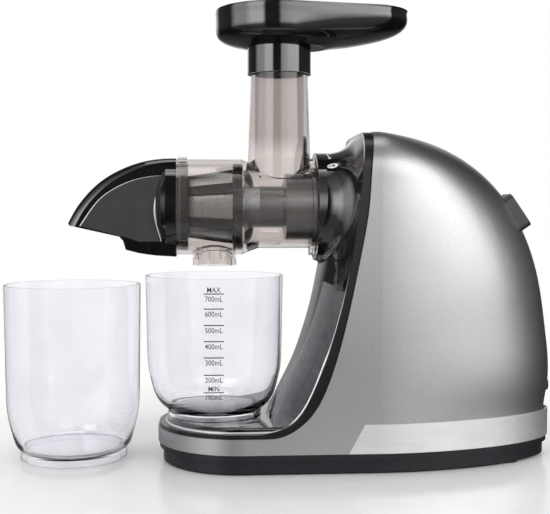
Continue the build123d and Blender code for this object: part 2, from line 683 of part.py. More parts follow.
# ---------------------------------------------------------------- drum, strainer, auger, cap
def make_drum():
    drum = turned_x([(CHAMBER_FRONT_X, 0), (CHAMBER_FRONT_X, CHAMBER_RADIUS),
                     (CHAMBER_REAR_X, CHAMBER_RADIUS), (FEED_FRONT_X, FEED_RADIUS),
                     (NECK_FACE_X - FIT - FLANGE_THICKNESS, FEED_RADIUS),
                     (NECK_FACE_X - FIT - FLANGE_THICKNESS, FLANGE_RADIUS),
                     (NECK_FACE_X - FIT, FLANGE_RADIUS), (NECK_FACE_X - FIT, SPIGOT_RADIUS),
                     (SPIGOT_END_X, SPIGOT_RADIUS), (SPIGOT_END_X, 0)])
    straight_z = TUBE_TOP_Z - TUBE_STRAIGHT
    taper = Pos(0, 0, (TUBE_FOOT_Z + straight_z) / 2)
    drum += taper * Cone(TUBE_FOOT_RADIUS, TUBE_TOP_RADIUS, straight_z - TUBE_FOOT_Z)
    drum += z_cylinder(TUBE_TOP_RADIUS, 0, 0, straight_z, TUBE_TOP_Z)
    drum += z_cylinder(TUBE_FOOT_RADIUS, 0, 0, AXIS_Z, TUBE_FOOT_Z)
    drum += z_cylinder(SPOUT_RADIUS, SPOUT_X, 0, SPOUT_BOTTOM_Z, AXIS_Z - 20)
    drum += z_cylinder(SPOUT_LIP_RADIUS, SPOUT_X, 0, SPOUT_BOTTOM_Z, SPOUT_BOTTOM_Z + SPOUT_LIP_HEIGHT)
    for rib in range(SPOUT_RIBS):
        bar = block(SPOUT_RADIUS - 1, SPOUT_LIP_RADIUS, -0.8, 0.8, SPOUT_BOTTOM_Z + 1,
                    AXIS_Z - CHAMBER_BORE)
        drum += Pos(SPOUT_X, 0, 0) * Rot(0, 0, rib * 360 / SPOUT_RIBS) * bar
    for tab in range(LUGS):
        at = tab * 360 / LUGS
        drum += x_sector(LUG_RADIUS, LUG_X, SPIGOT_END_X, LUG_WIDTH_DEG, at)
        drum += x_sector(TAB_RADIUS, CHAMBER_FRONT_X + 1, CHAMBER_FRONT_X + 8, LUG_WIDTH_DEG, at)
    for at in (0, 180):
        tab_front = NECK_FACE_X - FIT - FLANGE_THICKNESS
        drum += x_sector(FLANGE_TAB_RADIUS, tab_front, NECK_FACE_X - FIT, LUG_WIDTH_DEG, at)
    drum -= turned_x([(CHAMBER_FRONT_X - 1, 0), (CHAMBER_FRONT_X - 1, CHAMBER_BORE),
                      (CHAMBER_REAR_X, CHAMBER_BORE), (CHAMBER_REAR_X, FEED_BORE),
                      (SPIGOT_END_X - DRUM_WALL, FEED_BORE), (SPIGOT_END_X - DRUM_WALL, REAR_HOLE_RADIUS),
                      (SPIGOT_END_X + 1, REAR_HOLE_RADIUS), (SPIGOT_END_X + 1, 0)])
    drum -= z_cylinder(TUBE_BORE_RADIUS, 0, 0, AXIS_Z, TUBE_TOP_Z + 1)
    drum -= z_cylinder(SPOUT_BORE, SPOUT_X, 0, SPOUT_BOTTOM_Z - 1, AXIS_Z)
    drum -= x_cylinder(MAGNET_RADIUS, SPIGOT_END_X - 2, SPIGOT_END_X + 1, AXIS_Z + MAGNET_CIRCLE_RADIUS)
    return drum


def make_interlock_magnet():
    return x_cylinder(MAGNET_RADIUS, SPIGOT_END_X - 2, SPIGOT_END_X, AXIS_Z + MAGNET_CIRCLE_RADIUS)


def make_interlock_sensor():
    z = AXIS_Z + MAGNET_CIRCLE_RADIUS
    return block(BULKHEAD_REAR_X, BULKHEAD_REAR_X + 6, -7, 7, z - 5, z + 5)


def strainer_cone(inner_gap, thickness):
    """Conical sleeve between the two strainer rings, inner_gap out from the mesh's inside."""
    front = STRAINER_FRONT_R + inner_gap
    rear = STRAINER_REAR_R + inner_gap
    return turned_x([(STRAINER_FRONT_X, front), (STRAINER_REAR_X, rear),
                     (STRAINER_REAR_X, rear + thickness), (STRAINER_FRONT_X, front + thickness)])


def make_strainer_mesh():
    return strainer_cone(0, MESH_THICKNESS)


def make_strainer_frame():
    rim = CHAMBER_BORE - FIT
    frame = x_ring(rim, STRAINER_FRONT_R, STRAINER_NOSE_X, STRAINER_FRONT_X)
    frame += x_ring(rim, STRAINER_REAR_R, STRAINER_REAR_X, STRAINER_TAIL_X)
    ribs = strainer_cone(MESH_THICKNESS + MESH_GAP, STRAINER_RIB)
    for window in range(WINDOWS):
        at = 90 + window * 360 / WINDOWS
        ribs -= x_sector(CHAMBER_BORE, STRAINER_FRONT_X + 1, STRAINER_REAR_X - 1, WINDOW_DEG, at)
    return frame + ribs


def screw_flight(x0, x1, root_radius, tip_radius):
    """Helical flight about the X axis at height zero, with a flight pointing down at LOBE_X."""
    def rail(radius, shift):
        return Helix(AUGER_PITCH, x1 - x0, radius, center=(x0 + shift, 0, 0), direction=(1, 0, 0))
    rails = [rail(root_radius, -FLIGHT_ROOT_WIDTH / 2), rail(root_radius, FLIGHT_ROOT_WIDTH / 2),
             rail(tip_radius, FLIGHT_TIP_WIDTH / 2), rail(tip_radius, -FLIGHT_TIP_WIDTH / 2)]
    faces = [Face.make_surface_from_curves(a, b) for a, b in zip(rails, rails[1:] + rails[:1])]
    for end in (0, 1):
        faces.append(make_face(Polyline(*[r @ end for r in rails], close=True)).face())
    start = rails[0] @ 0
    start_angle = degrees(atan2(start.Z, start.Y))
    later = rails[0] @ 0.001
    way = 1 if (start.Y * later.Z - start.Z * later.Y) > 0 else -1
    lobe_angle = start_angle + way * 360 * (LOBE_X - x0) / AUGER_PITCH
    return Rot(-90 - lobe_angle, 0, 0) * Solid(Shell(faces))


def make_auger():
    disc_end = AUGER_DISC_X + AUGER_DISC_THICKNESS
    core = turned_x([(AUGER_FRONT_X, 0), (AUGER_FRONT_X, NOSE_END_RADIUS),
                     (AUGER_FRONT_X + 12, AUGER_CORE_RADIUS), (AUGER_DISC_X, AUGER_CORE_RADIUS),
                     (AUGER_DISC_X, FEED_BORE - FIT), (disc_end, FEED_BORE - FIT),
                     (disc_end, HUB_RADIUS), (SPIGOT_END_X, HUB_RADIUS), (SPIGOT_END_X, 0)])
    flight = Pos(0, 0, AXIS_Z) * screw_flight(STRAINER_FRONT_X - 4, AUGER_DISC_X + 4,
                                              AUGER_CORE_RADIUS - 2, STRAINER_REAR_R)
    sweep = STRAINER_FRONT_R - 2 * FIT
    deep_x = LOBE_X - FLIGHT_ROOT_WIDTH / 2 - 1
    flight &= turned_x([(STRAINER_FRONT_X - 3, 0), (STRAINER_FRONT_X - 3, sweep), (STRAINER_FRONT_X, sweep),
                        (STRAINER_REAR_X, STRAINER_REAR_R - 2 * FIT), (STRAINER_TAIL_X, LOW_TIP_RADIUS),
                        (deep_x, LOW_TIP_RADIUS), (deep_x + 2, AUGER_TIP_RADIUS),
                        (AUGER_DISC_X + 1, AUGER_TIP_RADIUS), (AUGER_DISC_X + 1, 0)])
    auger = core + flight
    auger += x_cylinder(NOSE_RADIUS, BUSH_FRONT_X, AUGER_FRONT_X)
    return auger - hex_bar(DRIVE_HEX, INSERT_FRONT_X, SPIGOT_END_X + 1)


def make_auger_insert():
    return hex_bar(DRIVE_HEX, INSERT_FRONT_X, INSERT_REAR_X)


def make_auger_seal():
    front = AUGER_DISC_X + AUGER_DISC_THICKNESS
    return x_ring(SEAL_RADIUS, HUB_RADIUS, front, SPIGOT_END_X - DRUM_WALL - FIT)


def moved_in(points, inset):
    """Corners of an outline moved to the left of their run by inset."""
    moved = []
    for before, here, after in zip(points[:1] + points, points, points[1:] + points[-1:]):
        run_x, run_z = after[0] - before[0], after[1] - before[1]
        length = hypot(run_x, run_z)
        moved.append((here[0] - inset * run_z / length, here[1] + inset * run_x / length))
    return moved


def beak_form(inset, half_width):
    """Prism of the end cap's side view: an arched back down to the tip, and a stepped underside."""
    tip = (BEAK_TIP[0] + 2.2 * inset, BEAK_TIP[1] + 1.2 * inset)
    chin = [] if inset else [(BEAK_TIP[0] + 1.5, BEAK_TIP[1] - 1.9)]
    over = moved_in(BEAK_BACK, inset) + [tip]
    under = chin + moved_in(BEAK_UNDERSIDE, inset)
    back = Spline(*[(x, 0, AXIS_Z + rise) for x, rise in over], tangents=[(-1, 0, 0), (-0.5, 0, -1)])
    rest = Polyline(back @ 1, *[(x, 0, AXIS_Z + rise) for x, rise in under], back @ 0)
    return side_prism([back, rest], half_width)


def make_end_cap():
    beak = beak_form(0, BEAK_HALF_WIDTH)
    ridge = beak.edges().filter_by(lambda e: e.length > 80 and (e @ 0.5).Z > AXIS_Z)
    beak = fillet(ridge, BEAK_EDGE_RADIUS)
    steps = [(CAP_RING_FRONT_X + x, CAP_RING_RADIUS + r) for x, r in DOME_STEPS]
    dome = turned_x([(CHAMBER_FRONT_X, 0), (CHAMBER_FRONT_X, CAP_RING_RADIUS),
                     (CAP_RING_FRONT_X, CAP_RING_RADIUS), *steps, (CHEEK_START_X, BEAK_HALF_WIDTH),
                     (CHEEK_START_X, 0)])
    inner_steps = [(x + 0.85 * CAP_WALL, r - 0.6 * CAP_WALL) for x, r in steps]
    room = turned_x([(PARTITION_X, 0), (PARTITION_X, CAP_RING_RADIUS - 1.1 * CAP_WALL), *inner_steps,
                     (CHEEK_START_X + CAP_WALL, BEAK_HALF_WIDTH - CAP_WALL), (CHEEK_START_X + CAP_WALL, 0)])
    slim = beak_form(CAP_WALL, BODY_HALF_WIDTH)
    inside = BEAK_HALF_WIDTH - CAP_WALL
    hollow = slim & block(-200, PARTITION_X, -inside, inside, 0, 300)
    cap = beak + (dome & beak_form(0, BODY_HALF_WIDTH))
    cap += x_cylinder(CAP_RING_RADIUS, CAP_RING_FRONT_X, CHAMBER_FRONT_X)
    cap -= hollow + (room & slim)
    cap -= x_cylinder(CAP_SPIGOT_BORE, PARTITION_X + CAP_WALL, 0)
    cap += x_ring(CHAMBER_BORE - FIT, CAP_SPIGOT_BORE, CHAMBER_FRONT_X, CAP_FACE_X)
    mouth_half = BEAK_HALF_WIDTH - 2 * CAP_WALL
    cap -= block(MOUTH_FRONT_X, MOUTH_REAR_X, -mouth_half, mouth_half, AXIS_Z - 35, AXIS_Z - 12)
    for side in (-1, 1):
        groove = Box(GRIP_GROOVE_WIDTH, 2 * GRIP_GROOVE_DEPTH, 20)
        cap -= Pos(GRIP_GROOVE_X, side * BEAK_HALF_WIDTH, AXIS_Z + GRIP_TOP - 10) * groove
    outlet = x_ring(OUTLET_RADIUS, BUSH_BOSS_RADIUS, PARTITION_X - 1, PARTITION_X + CAP_WALL + 1)
    for spoke in range(3):
        bar = block(PARTITION_X - 2, PARTITION_X + 6, -SPOKE_WIDTH / 2, SPOKE_WIDTH / 2, AXIS_Z, AXIS_Z + 40)
        outlet -= about_x(bar, 60 + spoke * 120)
    cap -= outlet
    cap += x_cylinder(BUSH_BOSS_RADIUS, PARTITION_X, AUGER_FRONT_X - 2)
    cap -= x_cylinder(BUSH_RADIUS, BUSH_FRONT_X, AUGER_FRONT_X)
    return cap


def make_cap_bush():
    return x_ring(BUSH_RADIUS, NOSE_RADIUS + RUN, BUSH_FRONT_X, AUGER_FRONT_X - 1)


def make_cap_gasket():
    return x_ring(CHAMBER_BORE - 2 * FIT, CAP_SPIGOT_BORE, CAP_FACE_X, CAP_FACE_X + GASKET_THICKNESS)


# ---------------------------------------------------------------- tray and cups
def tray_section(rise, inset, z):
    """Level outline of the tray at a share of its height: two rounds and the lines that touch both."""
    left_turn = max(1 - rise / LEFT_UPRIGHT, 0) ** TRAY_TURN
    right_turn = (1 - rise) ** TRAY_TURN
    left_top = TRAY_LEFT_X + TRAY_LEFT_RADIUS
    right_top = TRAY_RIGHT_X - TRAY_RIGHT_RADIUS
    left_x = left_top + (KEEL_LEFT_X - left_top) * left_turn
    right_x = right_top + (KEEL_RIGHT_X - right_top) * right_turn
    left_r = TRAY_LEFT_RADIUS + (KEEL_LEFT_RADIUS - TRAY_LEFT_RADIUS) * left_turn - inset
    right_r = TRAY_RIGHT_RADIUS + (KEEL_RIGHT_RADIUS - TRAY_RIGHT_RADIUS) * right_turn - inset
    lean = (left_r - right_r) / (right_x - left_x)
    across = sqrt(1 - lean ** 2)
    wide = (left_x + left_r * lean, left_r * across)
    narrow = (right_x + right_r * lean, right_r * across)
    left_end = ThreePointArc((wide[0], wide[1], z), (left_x - left_r, 0, z), (wide[0], -wide[1], z))
    right_end = ThreePointArc((narrow[0], -narrow[1], z), (right_x + right_r, 0, z),
                              (narrow[0], narrow[1], z))
    flanks = [Line(left_end @ 1, right_end @ 0), Line(right_end @ 1, left_end @ 0)]
    return make_face([left_end, flanks[0], right_end, flanks[1]])


def tray_form(inset):
    """Boat-shaped solid that climbs towards its narrow end; the inside is lifted by the same inset."""
    shares = (0, 0.04, 0.1, 0.18, 0.28, 0.4, LEFT_UPRIGHT, 0.75, 1)
    return loft([tray_section(share, inset, TRAY_BOTTOM_Z + inset + share * TRAY_HEIGHT) for share in shares])


def make_feed_tray():
    tray = tray_form(0) + z_cylinder(COLLAR_RADIUS, 0, 0, COLLAR_BOTTOM_Z, TRAY_BOTTOM_Z + TRAY_WALL)
    tray -= tray_form(TRAY_WALL)
    tray -= z_cylinder(TUBE_TOP_RADIUS + FIT, 0, 0, COLLAR_BOTTOM_Z - 1, TUBE_TOP_Z)
    return tray - z_cylinder(TUBE_BORE_RADIUS, 0, 0, COLLAR_BOTTOM_Z, TRAY_TOP_Z)


def make_cup(x, y, base_z, rim_r, height, ring_r, ring_h, turn_in):
    """Thin tumbler on a base ring, with a rounded shoulder above the ring."""
    def side(gap):
        foot = (ring_r - 1 - gap, 0, ring_h + gap)
        low = (rim_r - turn_in - gap, 0, ring_h + 11 + gap / 2)
        middle = (rim_r - turn_in / 2 - gap, 0, ring_h + 24)
        shoulder = (rim_r - 1.2 - gap, 0, ring_h + 46)
        curve = Spline(foot, low, middle, shoulder, tangents=[(1, 0, 0.6), (0.02, 0, 1)])
        return [curve, Line(shoulder, (rim_r - gap, 0, height))]
    outer = side(0)
    inner = side(CUP_WALL)
    recess = ring_r - 5
    foot = Polyline((0, 0, ring_h - 2), (recess, 0, ring_h - 2), (recess, 0, 0), (ring_r, 0, 0),
                    (ring_r, 0, ring_h), outer[0] @ 0)
    top = Line(outer[1] @ 1, inner[1] @ 1)
    start = inner[0] @ 0
    floor = Polyline(start, (0, 0, start.Z), (0, 0, ring_h - 2))
    return Pos(x, y, base_z) * revolve(make_face([foot, *outer, top, *inner, floor]), axis=Axis.Z)


def make_juice_cup():
    return make_cup(JUICE_CUP_X, 0, SEAT_Z, JUICE_CUP_RIM_R, JUICE_CUP_HEIGHT, JUICE_CUP_RING_R,
                    JUICE_CUP_RING_H, JUICE_CUP_SHOULDER)


def make_pulp_cup():
    return make_cup(PULP_CUP_X, PULP_CUP_Y, 0, PULP_CUP_RIM_R, PULP_CUP_HEIGHT, PULP_CUP_RING_R,
                    PULP_CUP_RING_H, PULP_CUP_SHOULDER)


# ---------------------------------------------------------------- gears
def involute(angle):
    return tan(angle) - angle


def make_gear(teeth, module, x0, x1, z, bore, tooth_up):
    """Spur gear about X; a tooth points straight up if tooth_up, else a gap does."""
    pitch_r = module * teeth / 2
    base_r = pitch_r * cos(radians(PRESSURE_DEG))
    tip_r = pitch_r + module
    root_r = pitch_r - 1.25 * module
    half_at_pitch = pi / (2 * teeth) - BACKLASH / (2 * pitch_r)

    def half_angle(radius):
        inside = max(radius, base_r)
        return half_at_pitch + involute(radians(PRESSURE_DEG)) - involute(acos(base_r / inside))

    def point(radius, angle):
        return (0, radius * sin(angle), radius * cos(angle))

    start_r = max(root_r, base_r)
    edges = []
    pitch_angle = 2 * pi / teeth
    for tooth in range(teeth):
        middle = pitch_angle * (tooth + (0 if tooth_up else 0.5))
        foot, waist, tip = half_angle(start_r), half_angle(pitch_r), half_angle(tip_r)
        left_foot = point(root_r, middle - foot)
        rise = ThreePointArc(point(start_r, middle - foot), point(pitch_r, middle - waist),
                             point(tip_r, middle - tip))
        crest = ThreePointArc(point(tip_r, middle - tip), point(tip_r, middle), point(tip_r, middle + tip))
        fall = ThreePointArc(point(tip_r, middle + tip), point(pitch_r, middle + waist),
                             point(start_r, middle + foot))
        right_foot = point(root_r, middle + foot)
        next_foot = point(root_r, middle + pitch_angle - foot)
        valley = ThreePointArc(right_foot, point(root_r, middle + pitch_angle / 2), next_foot)
        if start_r > root_r:
            edges += [Line(left_foot, rise @ 0), Line(fall @ 1, right_foot)]
        edges += [rise, crest, fall, valley]
    wheel = Pos(0, 0, z) * cross_prism(edges, x0, x1)
    return wheel - x_cylinder(bore, x0 - 1, x1 + 1, z)


def make_output_wheel():
    end = OUTPUT_WHEEL_X + OUTPUT_WHEEL_WIDTH
    wheel = make_gear(WHEEL_TEETH, SLOW_MODULE, OUTPUT_WHEEL_X, end, AXIS_Z, OUTPUT_SHAFT_RADIUS, True)
    web = x_ring(WHEEL_ROOM - 14, OUTPUT_SHAFT_RADIUS + 6, end - 5, end + 1)
    return wheel - web


def make_slow_pinion():
    return make_gear(PINION_TEETH, SLOW_MODULE, SLOW_PINION_X, FAST_WHEEL_X, AXLE_Z, AXLE_RADIUS + RUN, False)


def make_fast_wheel():
    end = FAST_WHEEL_X + FAST_WHEEL_WIDTH
    wheel = make_gear(WHEEL_TEETH, FAST_MODULE, FAST_WHEEL_X, end, AXLE_Z, AXLE_RADIUS + RUN, True)
    return wheel + x_ring(AXLE_RADIUS + 4, AXLE_RADIUS + RUN, end, GEARBOX_REAR_X - 0.5, AXLE_Z)


def make_motor_pinion():
    end = MOTOR_PINION_X + MOTOR_PINION_WIDTH
    return make_gear(PINION_TEETH, FAST_MODULE, MOTOR_PINION_X, end, MOTOR_Z, MOTOR_SHAFT_RADIUS, False)


def make_output_shaft():
    shoulder_x = OUTPUT_WHEEL_X + OUTPUT_WHEEL_WIDTH + 2
    shaft = x_cylinder(OUTPUT_SHAFT_RADIUS, SHAFT_FRONT_X, shoulder_x)
    shaft += x_cylinder(OUTPUT_TAIL_RADIUS, shoulder_x, LID_REAR_X + BEARING_WIDTH - 1)
    return shaft - hex_bar(DRIVE_HEX + 2 * HEX_GAP, SHAFT_FRONT_X - 1, INSERT_REAR_X)


def make_shaft_seal():
    outer = OUTPUT_SHAFT_RADIUS + SHAFT_SEAL_WIDTH
    return x_ring(outer, OUTPUT_SHAFT_RADIUS + RUN, BULKHEAD_X, BULKHEAD_REAR_X)


# ---------------------------------------------------------------- gearbox
def gearbox_room(grow, x0, x1, slant=0):
    """Gearbox outline: three overlapping rounds over the output wheel, idler and motor pinion."""
    radius = WHEEL_ROOM + grow
    front = [(x0, radius - slant), (x0 + slant, radius)] if slant else [(x0, radius)]
    room = turned_x([(x0, 0), *front, (x1, radius), (x1, 0)])
    room += x_cylinder(IDLER_ROOM + grow, x0, x1, AXLE_Z)
    return room + x_cylinder(PINION_ROOM + grow, x0, x1, MOTOR_Z)


def ear_places():
    circle = WHEEL_ROOM + GEARBOX_WALL + 2
    angles = (25, 155, 222, 318)
    return [(circle * cos(radians(a)), AXIS_Z + circle * sin(radians(a))) for a in angles]


def front_bearing_x():
    return GEARBOX_FRONT_X - BEARING_WIDTH


def make_gearbox_housing():
    box = gearbox_room(GEARBOX_WALL, GEARBOX_FRONT_X, GEARBOX_REAR_X, GEARBOX_SLANT)
    for y, z in ear_places():
        box += x_cylinder(EAR_RADIUS, GEARBOX_REAR_X - 14, GEARBOX_REAR_X, z, y)
    box -= gearbox_room(0, GEARBOX_FRONT_X + GEARBOX_WALL, GEARBOX_REAR_X + 1, GEARBOX_SLANT - 1)
    seat = OUTPUT_SHAFT_RADIUS + BEARING_DEPTH
    box += x_cylinder(seat + 3, front_bearing_x(), GEARBOX_FRONT_X + 1)
    box -= x_cylinder(seat, front_bearing_x() - 1, GEARBOX_FRONT_X)
    box -= x_cylinder(OUTPUT_SHAFT_RADIUS + 1, GEARBOX_FRONT_X - 1, GEARBOX_FRONT_X + 5)
    box -= x_cylinder(AXLE_RADIUS, GEARBOX_FRONT_X + 1, GEARBOX_REAR_X, AXLE_Z)
    for screw in make_gearbox_screws() + make_lid_screws():
        box -= screw
    return box


def make_gearbox_lid():
    lid = gearbox_room(GEARBOX_WALL, GEARBOX_REAR_X, LID_REAR_X)
    lid += x_cylinder(STATOR_RADIUS, GEARBOX_REAR_X, LID_REAR_X, MOTOR_Z)
    for y, z in ear_places():
        lid += x_cylinder(EAR_RADIUS, GEARBOX_REAR_X, LID_REAR_X, z, y)
    seat = OUTPUT_TAIL_RADIUS + BEARING_DEPTH
    lid += x_cylinder(seat + 3, GEARBOX_REAR_X, LID_REAR_X + BEARING_WIDTH + 2)
    lid -= x_cylinder(OUTPUT_TAIL_RADIUS + 1, GEARBOX_REAR_X - 1, LID_REAR_X)
    lid -= x_cylinder(seat, LID_REAR_X, LID_REAR_X + BEARING_WIDTH)
    lid -= x_cylinder(AXLE_RADIUS, GEARBOX_REAR_X - 1, LID_REAR_X - 1, AXLE_Z)
    lid -= x_cylinder(MOTOR_SHAFT_RADIUS + 2, GEARBOX_REAR_X - 1, LID_REAR_X + 1, MOTOR_Z)
    for screw in make_lid_screws() + make_motor_bolts():
        lid -= screw
    return lid


def make_idler_axle():
    return x_cylinder(AXLE_RADIUS, GEARBOX_FRONT_X + 1, LID_REAR_X - 1, AXLE_Z)


def make_output_bearings():
    front = x_ring(OUTPUT_SHAFT_RADIUS + BEARING_DEPTH, OUTPUT_SHAFT_RADIUS + RUN,
                   front_bearing_x(), GEARBOX_FRONT_X)
    rear = x_ring(OUTPUT_TAIL_RADIUS + BEARING_DEPTH, OUTPUT_TAIL_RADIUS + RUN,
                  LID_REAR_X, LID_REAR_X + BEARING_WIDTH)
    return [front, rear]


def make_gearbox_screws():
    return [screw_x(GEARBOX_FRONT_X + GEARBOX_WALL, y, z, 12, -1) for y, z in post_places()]


def make_lid_screws():
    return [screw_x(LID_REAR_X, y, z, 14, -1) for y, z in ear_places()]


# ---------------------------------------------------------------- motor
def bolt_places():
    return [(BOLT_CIRCLE_RADIUS * cos(radians(a)), MOTOR_Z + BOLT_CIRCLE_RADIUS * sin(radians(a)))
            for a in (45, 135, 225, 315)]


def make_motor_bolts():
    reach = MOTOR_REAR_X - GEARBOX_REAR_X - 1
    return [screw_x(MOTOR_REAR_X, y, z, reach, -1) for y, z in bolt_places()]


def make_bell(plate_x, rim_x):
    """Motor end bell: a cup with its plate at plate_x and its rim at rim_x."""
    way = 1 if rim_x > plate_x else -1
    x0, x1 = sorted([plate_x, rim_x])
    bell = x_cylinder(STATOR_RADIUS, x0, x1, MOTOR_Z)
    hollow = sorted([plate_x + way * BELL_WALL, rim_x + way])
    bell -= x_cylinder(COIL_OUTER_RADIUS + 1, *hollow, MOTOR_Z)
    seat = sorted([plate_x, plate_x + way * (BEARING_WIDTH + 1)])
    bell += x_cylinder(MOTOR_SHAFT_RADIUS + BEARING_DEPTH + 3, *seat, MOTOR_Z)
    hole = sorted([plate_x + way, plate_x + way * (BEARING_WIDTH + 2)])
    bell -= x_cylinder(MOTOR_SHAFT_RADIUS + BEARING_DEPTH, *hole, MOTOR_Z)
    bell -= x_cylinder(MOTOR_SHAFT_RADIUS + 1, x0 - 1, x1 + 1, MOTOR_Z)
    for vent in range(8):
        angle = radians(22.5 + 45 * vent)
        y = BELL_VENT_CIRCLE * cos(angle)
        z = MOTOR_Z + BELL_VENT_CIRCLE * sin(angle)
        bell -= x_cylinder(BELL_VENT_RADIUS, x0 - 1, x1 + 1, z, y)
    for bolt in make_motor_bolts():
        bell -= bolt
    return bell


def make_motor_bearings():
    bore = MOTOR_SHAFT_RADIUS + RUN
    rim = MOTOR_SHAFT_RADIUS + BEARING_DEPTH
    front = x_ring(rim, bore, LID_REAR_X + 1, LID_REAR_X + 1 + BEARING_WIDTH, MOTOR_Z)
    rear = x_ring(rim, bore, MOTOR_REAR_X - 1 - BEARING_WIDTH, MOTOR_REAR_X - 1, MOTOR_Z)
    return [front, rear]


def make_stator_core():
    core = x_ring(STATOR_RADIUS, STATOR_BORE, STATOR_FRONT_X, STATOR_REAR_X, MOTOR_Z)
    for slot in range(STATOR_SLOTS):
        bar = block(STATOR_FRONT_X - 1, STATOR_REAR_X + 1, -2.2, 2.2, MOTOR_Z + STATOR_BORE + 2,
                    MOTOR_Z + COIL_OUTER_RADIUS - 1)
        core -= about_x(bar, slot * 360 / STATOR_SLOTS, MOTOR_Z)
    for bolt in make_motor_bolts():
        core -= bolt
    return core


def make_stator_coils():
    starts = (STATOR_FRONT_X - COIL_LENGTH, STATOR_REAR_X)
    return [x_ring(COIL_OUTER_RADIUS, COIL_INNER_RADIUS, x, x + COIL_LENGTH, MOTOR_Z) for x in starts]


def make_rotor_core():
    return x_ring(STATOR_BORE - AIR_GAP, MOTOR_SHAFT_RADIUS, STATOR_FRONT_X, STATOR_REAR_X, MOTOR_Z)


def make_motor_shaft():
    return x_cylinder(MOTOR_SHAFT_RADIUS, MOTOR_PINION_X, FAN_X + FAN_LENGTH, MOTOR_Z)


def make_cooling_fan():
    fan = x_cylinder(FAN_HUB_RADIUS, FAN_X, FAN_X + FAN_LENGTH, MOTOR_Z)
    fan += x_cylinder(FAN_RADIUS, FAN_X + FAN_LENGTH - 1.5, FAN_X + FAN_LENGTH, MOTOR_Z)
    for blade in range(FAN_BLADES):
        bar = block(FAN_X, FAN_X + FAN_LENGTH - 1, -0.9, 0.9,
                    MOTOR_Z + FAN_HUB_RADIUS - 1, MOTOR_Z + FAN_RADIUS)
        fan += about_x(bar, blade * 360 / FAN_BLADES, MOTOR_Z)
    return fan - x_cylinder(MOTOR_SHAFT_RADIUS, FAN_X - 1, FAN_X + FAN_LENGTH + 1, MOTOR_Z)


def damper_places():
    inset = DAMPER_RADIUS
    xs = (STATOR_FRONT_X + inset, STATOR_REAR_X - inset)
    ys = (inset - CRADLE_HALF_WIDTH, CRADLE_HALF_WIDTH - inset)
    return [(x, y) for x in xs for y in ys]


def make_motor_cradle():
    """Bent sheet cradle that carries the motor on four rubber dampers."""
    half = CRADLE_HALF_WIDTH
    cradle = block(STATOR_FRONT_X, STATOR_REAR_X, -half, half, CRADLE_Z, CRADLE_Z + CRADLE_SHEET)
    for x in (STATOR_FRONT_X + 2, STATOR_REAR_X - 2 - CRADLE_SHEET):
        cradle += block(x, x + CRADLE_SHEET, -half, half, CRADLE_Z, MOTOR_Z - STATOR_RADIUS / 2)
    return cradle - x_cylinder(STATOR_RADIUS, STATOR_FRONT_X - 1, STATOR_REAR_X + 1, MOTOR_Z)


def make_rubber_dampers():
    return [z_cylinder(DAMPER_RADIUS, x, y, FLOOR_Z, CRADLE_Z) for x, y in damper_places()]


# ---------------------------------------------------------------- electrics
def board_corners():
    xs = (BOARD_FRONT_X + STANDOFF_RADIUS, BOARD_REAR_X - STANDOFF_RADIUS)
    ys = (STANDOFF_RADIUS - BOARD_HALF_WIDTH, BOARD_HALF_WIDTH - STANDOFF_RADIUS)
    return [(x, y) for x in xs for y in ys]


def make_control_board():
    half = BOARD_HALF_WIDTH
    return block(BOARD_FRONT_X, BOARD_REAR_X, -half, half, BOARD_Z, BOARD_Z + BOARD_THICKNESS)


def make_board_parts():
    """Run capacitor, relay, terminal block and heat sink on the board."""
    z = BOARD_Z + BOARD_THICKNESS
    x = BOARD_FRONT_X
    capacitor = z_cylinder(8, x + 10, -10, z, z + 24)
    relay = block(x + 22, x + 37, -18, -6, z, z + 15)
    terminals = block(x + 8, x + 32, 12, 20, z, z + 10)
    sink = block(x + 4, x + 6, 0, 8, z, z + 20) + block(x + 4, x + 14, 0, 8, z, z + 2)
    return [capacitor, relay, terminals, sink]


def make_control_bezel():
    plate = bezel_block(0)
    plate -= Pos(0, 0, -BEZEL_DEPTH / 2) * Box(ROCKER_LENGTH, ROCKER_WIDTH, BEZEL_DEPTH + 2)
    return bezel_place() * plate


def make_switch_body():
    body = Pos(0, 0, -SWITCH_TOP - SWITCH_DEPTH / 2) * Box(ROCKER_LENGTH, ROCKER_WIDTH, SWITCH_DEPTH)
    cradle_height = SWITCH_TOP - ROCKER_DEPTH - 0.3
    body += Pos(0, 0, -SWITCH_TOP + cradle_height / 2) * Box(3, 6, cradle_height)
    return bezel_place() * body


def make_rocker():
    """Rocker button with two gently raised ends; it tips about its own middle."""
    half = ROCKER_LENGTH / 2 - FIT
    outline = Polyline((-half, 0, -ROCKER_DEPTH), (-half, 0, ROCKER_RISE), (0, 0, 0.3),
                       (half, 0, ROCKER_RISE), (half, 0, -ROCKER_DEPTH), close=True)
    return bezel_place() * side_prism([outline], ROCKER_WIDTH / 2 - FIT)


def make_cord_gland():
    wall_x = rear_x(GLAND_Z, 0)
    gland = x_cylinder(GLAND_RADIUS, wall_x - GLAND_LENGTH, wall_x, GLAND_Z)
    gland += x_cylinder(GLAND_FLANGE_RADIUS, wall_x - WALL - 7, wall_x - WALL - 5, GLAND_Z)
    return gland - x_cylinder(CORD_BORE, wall_x - GLAND_LENGTH - 1, wall_x + 5, GLAND_Z)


